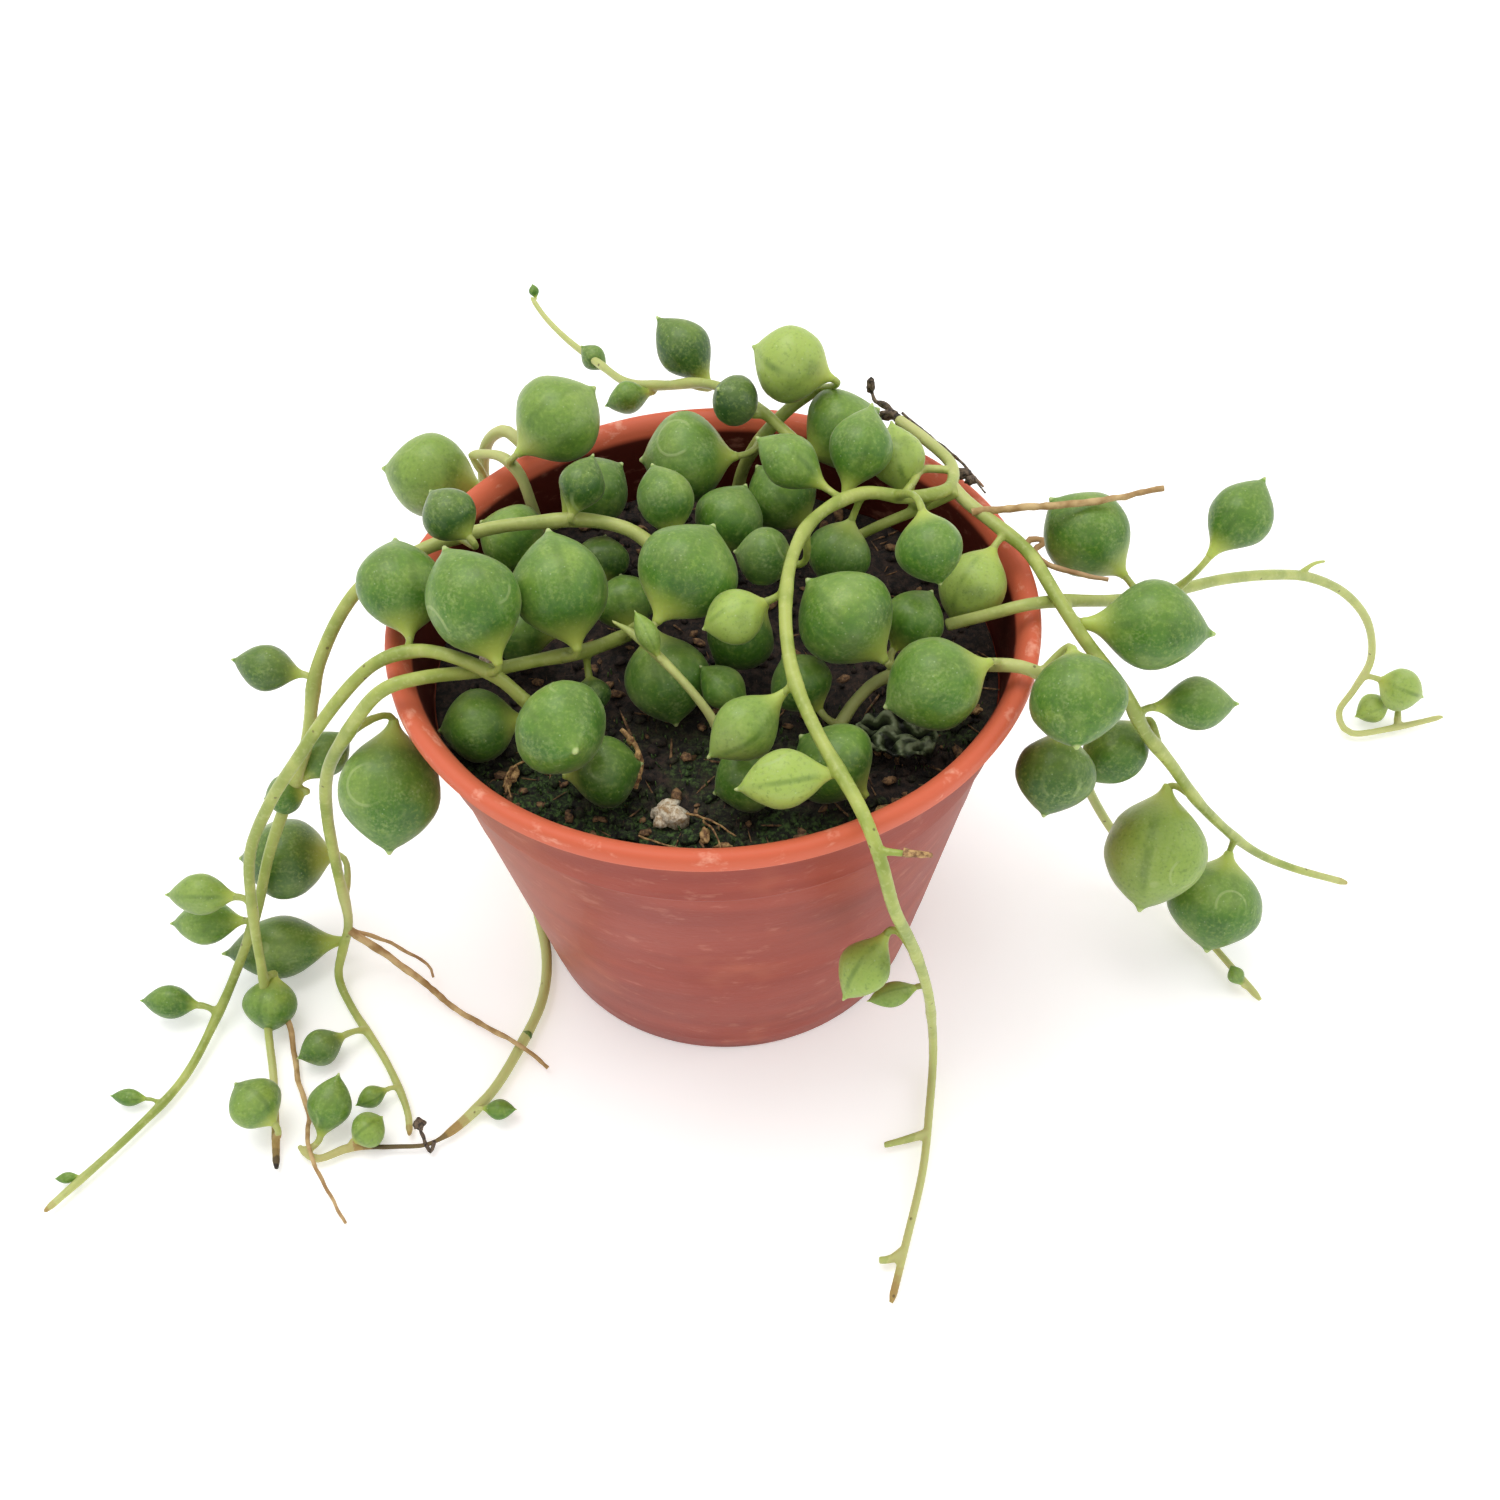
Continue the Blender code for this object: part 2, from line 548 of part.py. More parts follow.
def main():
    for old in list(bpy.data.objects):
        bpy.data.objects.remove(old)
    pot()
    potting_soil()
    lump("perlite_grain", (-6.7, -26.2, 52.6), (4.6, 3.6, 2.4), material("perlite", "#e6dccb", 0.9), 1)
    lump("bark_chip", (-30.5, 1, 52.6), (4, 2.4, 1.8), material("bark", "#8a6a45", 0.9), 2)
    withered_leaf()
    plant()


main()
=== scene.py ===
import math
import random

import bpy
from mathutils import Matrix, Vector, kdtree, noise


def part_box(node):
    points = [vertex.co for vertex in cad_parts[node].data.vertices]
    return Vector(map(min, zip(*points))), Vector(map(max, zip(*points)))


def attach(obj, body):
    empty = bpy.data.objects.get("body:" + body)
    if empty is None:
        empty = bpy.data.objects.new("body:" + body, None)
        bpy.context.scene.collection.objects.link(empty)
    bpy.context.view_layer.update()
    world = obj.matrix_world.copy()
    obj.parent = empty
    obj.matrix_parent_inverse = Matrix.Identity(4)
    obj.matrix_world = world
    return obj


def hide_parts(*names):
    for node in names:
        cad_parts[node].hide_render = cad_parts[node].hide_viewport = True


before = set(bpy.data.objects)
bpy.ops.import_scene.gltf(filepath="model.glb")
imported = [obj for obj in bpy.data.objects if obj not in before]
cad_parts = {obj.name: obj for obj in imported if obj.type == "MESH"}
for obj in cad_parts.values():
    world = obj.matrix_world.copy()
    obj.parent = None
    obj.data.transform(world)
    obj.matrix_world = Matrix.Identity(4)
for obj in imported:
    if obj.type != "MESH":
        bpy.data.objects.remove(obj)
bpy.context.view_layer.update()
mm = 0.001
rng = random.Random(7)
print("frame loaded:", len(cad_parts), "solids")


def toLinear(hexText):
    shares = [int(hexText[i:i + 2], 16) / 255 for i in (1, 3, 5)]
    return [s / 12.92 if s <= 0.04045 else ((s + 0.055) / 1.055) ** 2.4 for s in shares] + [1.0]


nodeWays = {
    # kind: the sockets that plain values fill in turn, the output that is handed on, the usual settings
    "Attribute": ((), "Fac", {}),
    "Bump": (("Height", "Strength", "Distance"), 0, {}),
    "MapRange": ((0, 1, 2, 3, 4), 0, {"interpolation_type": "SMOOTHSTEP"}),
    "Mapping": (("Vector", "Scale"), 0, {}),
    "Math": ((0, 1), 0, {}),
    "Mix": ((0, 6, 7), 2, {"data_type": "RGBA", "clamp_factor": True}),
    "NewGeometry": ((), "Normal", {}),
    "SeparateXYZ": ((0,), slice(3), {}),
    "TexCoord": ((), "Object", {}),
    "TexNoise": (("Vector", "Scale", "Detail", "Roughness"), "Fac", {}),
    "TexVoronoi": (("Vector", "Scale"), "Distance", {}),
    "VectorMath": ((0, 1), "Value", {}),
}


def fill(tree, socket, value):
    # a socket takes a link, a hex colour or a plain value
    if isinstance(value, bpy.types.NodeSocket):
        tree.links.new(value, socket)
    elif isinstance(value, str):
        socket.default_value = toLinear(value)
    else:
        socket.default_value = value


def addNode(tree, kind, *values, out=None, **settings):
    # noise and cells are given their scale in lumps a metre, so 1000 / 6 makes lumps 6 mm across
    sockets, handedOn, usual = nodeWays[kind]
    node = tree.nodes.new("ShaderNode" + kind)
    for key, value in {**usual, **settings}.items():
        setattr(node, key, value)
    for socket, value in zip(sockets, values):
        fill(tree, node.inputs[socket], value)
    return node.outputs[handedOn if out is None else out]


def newMaterial(name):
    made = bpy.data.materials.new(name)
    made.use_nodes = True
    return made, made.node_tree, made.node_tree.nodes["Principled BSDF"]


def setShader(tree, shader, **values):
    for key, value in values.items():
        fill(tree, shader.inputs[key.replace("_", " ")], value)


def tinted(tree, colour, tint, pattern, low, high, most=1.0):
    # lays the tint over the colour, from nothing where the pattern is low to most where it is high
    share = addNode(tree, "MapRange", pattern, low, high, 0.0, most)
    return addNode(tree, "Mix", share, colour, tint)


def together(tree, first, *others):
    # strong only where all the patterns are
    for other in others:
        first = addNode(tree, "Math", first, other, operation="MULTIPLY")
    return first


def deselectAll():
    if bpy.context.object and bpy.context.object.mode != "OBJECT":
        bpy.ops.object.mode_set(mode="OBJECT")
    bpy.ops.object.select_all(action="DESELECT")


def pick(*pieces):
    deselectAll()
    for piece in pieces:
        piece.select_set(True)
    bpy.context.view_layer.objects.active = pieces[0]


def camel(node, ending):
    first, *others = node.split("_")
    return first + "".join(word.capitalize() for word in others) + ending


def settle(piece, name, material, nodes):
    # applies the place, names the piece and hands it to the frame
    pick(piece)
    bpy.ops.object.transform_apply(location=True, rotation=True, scale=True)
    piece.name = name
    piece.data.name = name
    piece.data.materials.clear()
    piece.data.materials.append(material)
    bpy.ops.object.shade_smooth()
    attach(piece, "root")
    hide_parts(*nodes)
    return piece


leafColours = {
    "deep": "#27481c",      # shaded, older flesh
    "middle": "#497620",
    "young": "#a0b656",     # young flesh near a tip
    "neck": "#b3bf58",      # where the stalk runs into the leaf
    "bloom": "#a6b777",     # wax that rubs off as pale speckles
    "window": "#315b15",    # the clear stripe that lets light into the leaf
}


def makeLeafFlesh():
    # Living succulent skin: satin wax over wet flesh, so a soft highlight, some glow and a pale bloom
    made, tree, shader = newMaterial("livingSucculentSkin")
    own = addNode(tree, "Attribute", out="Vector", attribute_name="leafPlace")
    tone = addNode(tree, "Attribute", attribute_name="leafTone")
    where = addNode(tree, "TexCoord")
    x, y, z = addNode(tree, "SeparateXYZ", own)
    darkHalf = addNode(tree, "MapRange", tone, 0.0, 0.5)
    lightHalf = addNode(tree, "MapRange", tone, 0.5, 1.0)
    colour = addNode(tree, "Mix", darkHalf, leafColours["deep"], leafColours["middle"])
    colour = addNode(tree, "Mix", lightHalf, colour, leafColours["young"])
    patches = addNode(tree, "TexNoise", where, 1000 / 6.0)   # uneven flesh, 6 mm across
    colour = tinted(tree, colour, leafColours["young"], patches, 0.5, 0.75, 0.34)
    colour = tinted(tree, colour, leafColours["deep"], patches, 0.48, 0.28, 0.4)
    flecks = addNode(tree, "TexNoise", where, 1000 / 0.55, 3.0, 0.6)   # skin cells and pores
    colour = tinted(tree, colour, leafColours["young"], flecks, 0.5, 0.72, 0.3)
    colour = tinted(tree, colour, leafColours["deep"], flecks, 0.48, 0.3, 0.3)
    # fine lengthwise lines
    lines = addNode(tree, "TexNoise", addNode(tree, "Mapping", own, (1, 1, 0.08)), 1 / 0.16)
    colour = tinted(tree, colour, leafColours["bloom"], lines, 0.5, 0.8, 0.16)
    neck = addNode(tree, "MapRange", z, 0.26, 0.03)
    colour = addNode(tree, "Mix", together(tree, neck, 0.9), colour, leafColours["neck"])
    stripe = addNode(tree, "MapRange", addNode(tree, "Math", x, operation="ABSOLUTE"), 0.16, 0.02)
    front = addNode(tree, "MapRange", y, 0.1, 0.3)
    low = addNode(tree, "MapRange", z, 0.12, 0.3)
    high = addNode(tree, "MapRange", z, 0.95, 0.8)
    uneven = addNode(tree, "MapRange", patches, 0.42, 0.62, 0.1, 0.5)
    stripe = together(tree, stripe, front, low, high, uneven)
    colour = addNode(tree, "Mix", stripe, colour, leafColours["window"])
    clouds = addNode(tree, "TexNoise", where, 1000 / 3.2, 3.0)
    grains = addNode(tree, "TexNoise", where, 1000 / 0.4)
    dust = together(tree, addNode(tree, "MapRange", clouds, 0.4, 0.75),
                    addNode(tree, "MapRange", grains, 0.42, 0.7))
    colour = addNode(tree, "Mix", together(tree, dust, 0.34), colour, leafColours["bloom"])
    haze = addNode(tree, "TexNoise", where, 1000 / 8.0, 1.0)
    colour = tinted(tree, colour, leafColours["bloom"], haze, 0.5, 0.75, 0.2)
    # painted light: faces turned up are painted lighter as a painted highlight, faces turned down painted
    # darker as painted shade
    rise = addNode(tree, "SeparateXYZ", addNode(tree, "NewGeometry"))[2]
    colour = tinted(tree, colour, leafColours["young"], rise, 0.35, 0.95, 0.2)   # painted highlight on the upward-facing top
    colour = tinted(tree, colour, leafColours["deep"], rise, 0.1, -0.7, 0.35)    # shaded belly
    dots = addNode(tree, "TexVoronoi", where, 1000 / 1.2)
    colour = tinted(tree, colour, "#c6d6a6", dots, 0.12, 0.06, 0.25)  # pores, 0.2 mm
    # rings that dried drops left, about 5 mm across
    drops = addNode(tree, "TexVoronoi", where, 1000 / 11.0)
    ring = addNode(tree, "Math", addNode(tree, "Math", drops, 0.24, operation="SUBTRACT"),
                   operation="ABSOLUTE")
    ring = together(tree, addNode(tree, "MapRange", ring, 0.025, 0.008),
                    addNode(tree, "MapRange", patches, 0.45, 0.6))
    colour = addNode(tree, "Mix", together(tree, ring, 0.45), colour, leafColours["bloom"])
    colour = tinted(tree, colour, "#a9b878", z, 0.975, 1.0)   # dry point
    rough = addNode(tree, "Math", together(tree, dust, 0.25), 0.36, operation="ADD")
    bumps = addNode(tree, "Math", together(tree, lines, 0.5), addNode(tree, "TexNoise", where, 1000 / 0.5),
                    operation="ADD")
    bumps = addNode(tree, "Math", bumps, together(tree, ring, 0.6), operation="ADD")
    bump = addNode(tree, "Bump", bumps, 0.35, 0.12 * mm)
    setShader(tree, shader, Base_Color=colour, Roughness=rough, Normal=bump, IOR=1.42,
              Subsurface_Weight=0.2, Subsurface_Scale=0.0025, Subsurface_Radius=(0.5, 1.0, 0.12),
              Sheen_Weight=0.2, Sheen_Roughness=0.4, Sheen_Tint="#dcd6b8")
    return made


def makeStemSkin():
    # Living stem: thinner, paler skin than the leaves, corky and brown where it is old
    made, tree, shader = newMaterial("livingStemSkin")
    age = addNode(tree, "Attribute", attribute_name="stemAge")
    where = addNode(tree, "TexCoord")
    flow = addNode(tree, "TexNoise", where, 1000 / 5.0)
    colour = tinted(tree, "#85963a", "#a9b35a", flow, 0.35, 0.65)
    fine = addNode(tree, "TexNoise", where, 1000 / 0.7, 3.0)
    colour = tinted(tree, colour, "#c0c681", fine, 0.5, 0.75, 0.4)
    colour = tinted(tree, colour, "#bdbf7c", age, 0.0, 0.5)   # faded
    colour = tinted(tree, colour, "#a58a52", age, 0.45, 1.0)   # corky
    colour = tinted(tree, colour, "#2e2620", age, 1.2, 2.0)   # dead and black
    specks = addNode(tree, "TexVoronoi", where, 1000 / 2.6)
    specks = together(tree, addNode(tree, "MapRange", specks, 0.11, 0.06),
                      addNode(tree, "MapRange", flow, 0.42, 0.55))
    colour = addNode(tree, "Mix", together(tree, specks, 0.75), colour, "#5b4a2a")    # breathing pores
    height = addNode(tree, "Math", addNode(tree, "TexNoise", where, 1000 / 0.6, 3.0),
                     together(tree, specks, 0.4), operation="ADD")
    bump = addNode(tree, "Bump", height, 0.4, 0.12 * mm)
    rough = addNode(tree, "MapRange", age, 0.0, 1.2, 0.36, 0.7)
    setShader(tree, shader, Base_Color=colour, Roughness=rough, Normal=bump, IOR=1.42,
              Subsurface_Weight=0.18, Subsurface_Scale=0.0015,
              Subsurface_Radius=(0.6, 1.0, 0.25))
    return made


def makeRootBark():
    # Aerial root: dry fibre, straw to brown, no shine
    made, tree, shader = newMaterial("dryRootFibre")
    age = addNode(tree, "Attribute", attribute_name="stemAge")
    where = addNode(tree, "TexCoord")
    fibre = addNode(tree, "TexNoise", where, 1000 / 2.5, 3.0)
    colour = tinted(tree, "#9c7a48", "#cbae7b", fibre, 0.35, 0.65)
    colour = tinted(tree, colour, "#8f6550", age, 0.6, 1.6)
    colour = tinted(tree, colour, "#2b211c", age, 1.6, 2.0)
    bump = addNode(tree, "Bump", addNode(tree, "TexNoise", where, 1000 / 0.35, 3.0), 0.5, 0.12 * mm)
    setShader(tree, shader, Base_Color=colour, Roughness=0.72, Normal=bump)
    return made


def makePotPlastic():
    # Injection moulded polypropylene, terracotta colour: satin, scuffed by stacking, with faint flow bands
    made, tree, shader = newMaterial("mouldedPolypropylene")
    where = addNode(tree, "TexCoord")
    x, y, z = addNode(tree, "SeparateXYZ", where)
    # flow bands run round the pot
    bands = addNode(tree, "TexNoise", addNode(tree, "Mapping", where, (1, 1, 7)), 1000 / 26.0, 3.0)
    colour = tinted(tree, "#8b3627", "#993f2d", bands, 0.3, 0.7)
    cloud = addNode(tree, "TexNoise", where, 1000 / 17.0, 3.0, 0.6)
    colour = tinted(tree, colour, "#b8694c", cloud, 0.52, 0.8, 0.5)
    # painted reflection: the left side, towards negative x, is painted paler in place of the bright rim light
    colour = tinted(tree, colour, "#c8866a", x, -14 * mm, -34 * mm, 0.3)
    # painted shade: the inner wall below the lip is painted dark
    facing = addNode(tree, "VectorMath", addNode(tree, "NewGeometry"), where, operation="DOT_PRODUCT")
    inside = addNode(tree, "MapRange", facing, -8 * mm, -20 * mm)
    inside = together(tree, inside, addNode(tree, "MapRange", z, 62 * mm, 61 * mm))
    colour = addNode(tree, "Mix", inside, colour, "#4c1a12")   # painted shade on the inner wall
    # painted highlight: the lip's top and outer face are painted bright
    paintedLipHighlight = addNode(tree, "MapRange", z, 59.6 * mm, 60.2 * mm)
    paintedLipHighlight = together(tree, paintedLipHighlight, addNode(tree, "Math", 1.0, inside, operation="SUBTRACT"))
    colour = addNode(tree, "Mix", together(tree, paintedLipHighlight, 0.85), colour, "#d5694a")
    scuffs = addNode(tree, "TexNoise", addNode(tree, "Mapping", where, (1, 1, 2.2)), 1000 / 4.5, 4.0, 0.65)
    exposed = addNode(tree, "Math", together(tree, paintedLipHighlight, 0.5), 0.16, operation="ADD")    # most at the lip
    rubbed = together(tree, addNode(tree, "MapRange", scuffs, 0.56, 0.72), exposed)
    colour = addNode(tree, "Mix", rubbed, colour, "#e7a58c")
    scratch = addNode(tree, "TexNoise", addNode(tree, "Mapping", where, (1, 1, 14)), 1000 / 5.0, 4.0, 0.7)
    colour = tinted(tree, colour, "#dba894", scratch, 0.66, 0.74, 0.25)
    grit = addNode(tree, "TexVoronoi", where, 1000 / 5.5)
    spots = addNode(tree, "MapRange", grit, 0.05, 0.03, 0.0, 0.7)
    spots = together(tree, spots, addNode(tree, "MapRange", cloud, 0.5, 0.6))
    colour = addNode(tree, "Mix", spots, colour, "#5a2b22")
    soilLine = together(tree, addNode(tree, "MapRange", z, 2.2 * mm, 0.4 * mm),
                        addNode(tree, "MapRange", cloud, 0.35, 0.6))
    colour = addNode(tree, "Mix", together(tree, soilLine, 0.5), colour, "#6b3a2e")
    height = addNode(tree, "Math", addNode(tree, "TexNoise", where, 1000 / 0.8),
                     together(tree, scratch, 0.8), operation="ADD")
    bump = addNode(tree, "Bump", height, 0.16, 0.15 * mm)
    rough = addNode(tree, "Math", together(tree, cloud, 0.2), 0.34, operation="ADD")
    setShader(tree, shader, Base_Color=colour, Roughness=rough, Normal=bump, IOR=1.49,
              Specular_IOR_Level=0.22, Subsurface_Weight=0.06, Subsurface_Scale=0.002,
              Subsurface_Radius=(1.0, 0.35, 0.2))
    return made


def makePeat():
    # Damp peat: almost black crumbs, brown where they dry, with moss in the light
    made, tree, shader = newMaterial("dampPeatAndMoss")
    where = addNode(tree, "TexCoord")
    x, y, z = addNode(tree, "SeparateXYZ", where)
    crumbs = addNode(tree, "TexNoise", where, 1000 / 1.1, 4.0, 0.7)
    colour = tinted(tree, "#171210", "#43332a", crumbs, 0.38, 0.66)
    fibres = addNode(tree, "TexNoise", addNode(tree, "Mapping", where, (4, 0.8, 1)), 1000 / 1.6, 3.0, 0.7)
    colour = tinted(tree, colour, "#7c5c45", fibres, 0.62, 0.72, 0.6)
    cushions = addNode(tree, "TexNoise", where, 1000 / 13.0, 3.0, 0.6)
    lit = addNode(tree, "MapRange", y, -6 * mm, -20 * mm)
    moss = together(tree, addNode(tree, "MapRange", cushions, 0.4, 0.56), lit)
    tuft = tinted(tree, "#1b2a12", "#4f6b33", addNode(tree, "TexNoise", where, 1000 / 0.5, 3.0), 0.4, 0.65)
    moss = together(tree, moss, addNode(tree, "MapRange", crumbs, 0.36, 0.56))
    colour = addNode(tree, "Mix", moss, colour, tuft)
    bump = addNode(tree, "Bump", addNode(tree, "TexNoise", where, 1000 / 0.6, 5.0, 0.7), 0.9, 0.5 * mm)
    setShader(tree, shader, Base_Color=colour, Roughness=0.9, Normal=bump)
    return made


def makeCrumb(name, light, dark, rough=0.85):
    # Loose bits on the soil: bark, perlite and fibre, matt and uneven
    made, tree, shader = newMaterial(name)
    where = addNode(tree, "TexCoord")
    colour = tinted(tree, dark, light, addNode(tree, "TexNoise", where, 1000 / 0.7, 4.0, 0.65), 0.35, 0.65)
    bump = addNode(tree, "Bump", addNode(tree, "TexNoise", where, 1000 / 0.4, 4.0), 0.8, 0.3 * mm)
    setShader(tree, shader, Base_Color=colour, Roughness=rough, Normal=bump)
    return made


def makeWitheredSkin():
    # Collapsed leaf skin, leathery: painted shade darkens the folds and painted highlights make the ridges
    # pale
    made, tree, shader = newMaterial("witheredLeafSkin")
    crease = addNode(tree, "Attribute", attribute_name="crease")
    where = addNode(tree, "TexCoord")
    # painted shade in the folds and painted highlights on the ridges, taken from the ridge height
    colour = tinted(tree, "#161a11", "#3f4a2c", crease, 0.25, 0.6)
    colour = tinted(tree, colour, "#8b9670", crease, 0.62, 0.85, 0.8)
    stains = addNode(tree, "TexNoise", where, 1000 / 0.8, 3.0)
    colour = tinted(tree, colour, "#1d2015", stains, 0.5, 0.7, 0.4)
    bump = addNode(tree, "Bump", addNode(tree, "TexNoise", where, 1000 / 0.5, 4.0), 0.6, 0.3 * mm)
    setShader(tree, shader, Base_Color=colour, Roughness=0.42, Normal=bump)
    return made


leafFlesh = makeLeafFlesh()
stemSkin = makeStemSkin()
rootFibre = makeRootBark()
potPlastic = makePotPlastic()
peat = makePeat()
barkBits = makeCrumb("driedBark", "#9a7650", "#4a3222")
expandedPerlite = makeCrumb("expandedPerlite", "#efe3cb", "#a98a63")
witheredSkin = makeWitheredSkin()
mossTips = makeCrumb("mossTips", "#5f7d3c", "#24361a", 0.7)
print("materials ready")


cameraLook = {
    "place": (4.1 * mm, -153.2 * mm, 204.1 * mm),
    "down": 48.08,          # degrees below the horizon
    "roll": -2.296,
    "lens": 38.4,
}


def makeCamera():
    down = math.radians(cameraLook["down"])
    roll = math.radians(cameraLook["roll"])
    ahead = Vector((0, math.cos(down), -math.sin(down)))
    flatRight = Vector((1, 0, 0))
    flatUp = flatRight.cross(ahead)
    right = math.cos(roll) * flatRight + math.sin(roll) * flatUp
    up = math.cos(roll) * flatUp - math.sin(roll) * flatRight
    data = bpy.data.cameras.new("camera")
    data.sensor_width = 36
    data.lens = cameraLook["lens"]
    data.clip_start = 0.01
    camera = bpy.data.objects.new("camera", data)
    bpy.context.scene.collection.objects.link(camera)
    turned = Matrix((right, up, -ahead)).transposed().to_4x4()
    turned.translation = cameraLook["place"]
    camera.matrix_world = turned
    bpy.context.scene.camera = camera


lightLook = {"sky": 0.92, "skyColour": "#ffffff", "top": 1.5, "side": 0.35, "table": 0.26}


def areaLight(name, place, size, energy, colour="#ffffff"):
    data = bpy.data.lights.new(name, "AREA")
    data.energy = energy
    data.shape = "DISK"
    data.size = size
    data.color = toLinear(colour)[:3]
    lamp = bpy.data.objects.new(name, data)
    bpy.context.scene.collection.objects.link(lamp)
    lamp.location = place
    lamp.rotation_euler = (Vector((0, 0, 0.04)) - Vector(place)).to_track_quat("-Z", "Y").to_euler()


def makeStudio():
    world = bpy.data.worlds.new("studio")
    world.use_nodes = True
    sky = world.node_tree.nodes["Background"]
    sky.inputs["Color"].default_value = toLinear(lightLook["skyColour"])
    sky.inputs["Strength"].default_value = lightLook["sky"]
    bpy.context.scene.world = world
    areaLight("softboxAbove", (-0.12, 0.1, 0.62), 0.45, lightLook["top"])
    areaLight("softboxSide", (0.55, -0.1, 0.4), 0.35, lightLook["side"])
    deselectAll()
    bpy.ops.mesh.primitive_plane_add(size=3, location=(0, 0, -0.00005))
    floor = bpy.context.object
    floor.name = "studioFloor"
    bpy.ops.object.transform_apply(location=True, rotation=True, scale=True)
    made, tree, shader = newMaterial("paintedPaper")
    setShader(tree, shader, Base_Color="#fbfbfa", Roughness=0.9, Specular_IOR_Level=0.1,
              Emission_Color="#ffffff", Emission_Strength=lightLook["table"])
    floor.data.materials.append(made)
    bpy.context.scene.view_settings.view_transform = "Standard"
    bpy.context.scene.view_settings.look = "None"


makeCamera()
makeStudio()
print("camera and studio ready")


potLook = {
    "sides": 160,
    "lipWave": 0.12,        # mm the moulded lip strays from true, growing from waveFrom up to the lip
    "waveFrom": 45,
    "lipTop": 62.5,
    "drainHoles": 6,
    "drainRadius": 2.5,
    "drainCircle": 20.0,
    # outline from the base's centre up the outside, over the lip and down the inside (radius, height in mm)
    "outline": [
        (9, 0), (19, 0), (27.2, 0), (28.3, 0.12), (28.75, 0.55), (29.5, 4), (31.2, 13), (31.3, 13.2),
        (33.5, 24.8), (36.15, 38.6), (36.28, 38.9), (38.05, 48.6), (38.35, 49.5), (38.85, 50), (39.1, 51.5),
        (39.95, 59.4), (40.1, 59.9), (41.6, 60), (42.3, 60.15), (42.5, 60.5), (42.5, 61.8), (42.35, 62.2),
        (42, 62.45), (41.5, 62.5), (41, 62.4), (40.3, 61.9), (39.8, 61.3), (39.1, 59.7), (38.1, 50.2),
        (37.6, 49.8), (37.4, 48.5), (32.5, 22), (28.3, 1.5), (27.9, 1.2), (19, 1.2), (9, 1.2),
    ],
}


def makePot():
    deselectAll()
    outline = [(r * mm, h * mm) for r, h in potLook["outline"]]
    radius, height = outline[0]
    bpy.ops.mesh.primitive_circle_add(vertices=potLook["sides"], radius=radius, fill_type="TRIFAN",
                                      location=(0, 0, height))
    pot = bpy.context.object
    bpy.ops.object.transform_apply(location=True, rotation=True, scale=True)
    bpy.ops.object.mode_set(mode="EDIT")
    bpy.ops.mesh.select_all(action="SELECT")
    bpy.ops.mesh.region_to_loop()
    for (oldRadius, oldHeight), (newRadius, newHeight) in zip(outline, outline[1:]):
        bpy.ops.mesh.extrude_edges_move(TRANSFORM_OT_translate={"value": (0, 0, newHeight - oldHeight)})
        share = newRadius / oldRadius
        bpy.ops.transform.resize(value=(share, share, 1), center_override=(0, 0, newHeight))
    bpy.ops.mesh.edge_face_add()
    bpy.ops.mesh.select_all(action="SELECT")
    bpy.ops.mesh.normals_make_consistent(inside=False)
    bpy.ops.object.mode_set(mode="OBJECT")
    for corner in pot.data.vertices:   # thin plastic is never quite round
        if corner.co.z > potLook["waveFrom"] * mm:
            share = (corner.co.z / mm - potLook["waveFrom"]) / (potLook["lipTop"] - potLook["waveFrom"])
            spot = corner.co * 60
            stray = potLook["lipWave"] * mm * share
            corner.co.z += stray * noise.noise(spot * 1.4)
            away = Vector((corner.co.x, corner.co.y, 0)).normalized()
            corner.co += away * stray * (noise.noise(spot) - 0.6)
    for i in range(potLook["drainHoles"]):
        angle = 2 * math.pi * (i + 0.5) / potLook["drainHoles"]
        centre = Vector((math.cos(angle), math.sin(angle), 0)) * potLook["drainCircle"] * mm
        deselectAll()
        bpy.ops.mesh.primitive_cylinder_add(vertices=32, radius=potLook["drainRadius"] * mm, depth=6 * mm,
                                            location=centre)
        drill = bpy.context.object
        pick(pot)
        bpy.ops.object.modifier_add(type="BOOLEAN")
        cut = pot.modifiers[-1]
        cut.object = drill
        cut.operation = "DIFFERENCE"
        bpy.ops.object.modifier_apply(modifier=cut.name)
        bpy.data.objects.remove(drill)
    settle(pot, "pot", potPlastic, ["pot"])
    bpy.ops.object.shade_smooth_by_angle(angle=math.radians(35))
    return pot


makePot()
print("pot ready")


soilLook = {
    "spacing": 0.55,        # mm between the surface's corners
    "lumps": 0.9,           # mm, height of the crumbs
    "crumbs": 520,
    "fibres": 150,
    "moss": 620,
    "reach": 36.5,          # mm from the middle that loose bits lie within
    "mossEdge": -8,         # mm; moss and crumbs are thick in front of this line
    "rim": 0.97,            # share of the radius beyond which the soil is pressed flatter
    "level": 0.45,          # mm that the surface's mean lies below its highest place
}


def soilRise(x, y):
    # height over the level surface, in metres, with x and y in metres
    spot = Vector((x, y, 0)) * 1000
    rise = 0.6 * noise.noise(spot / 7) + 0.5 * noise.noise(spot / 2.3)
    rise += 0.32 * abs(noise.noise(spot / 0.9)) + 0.3 * noise.noise(spot / 4.1 + Vector((9, 0, 0)))
    return soilLook["lumps"] * mm * rise


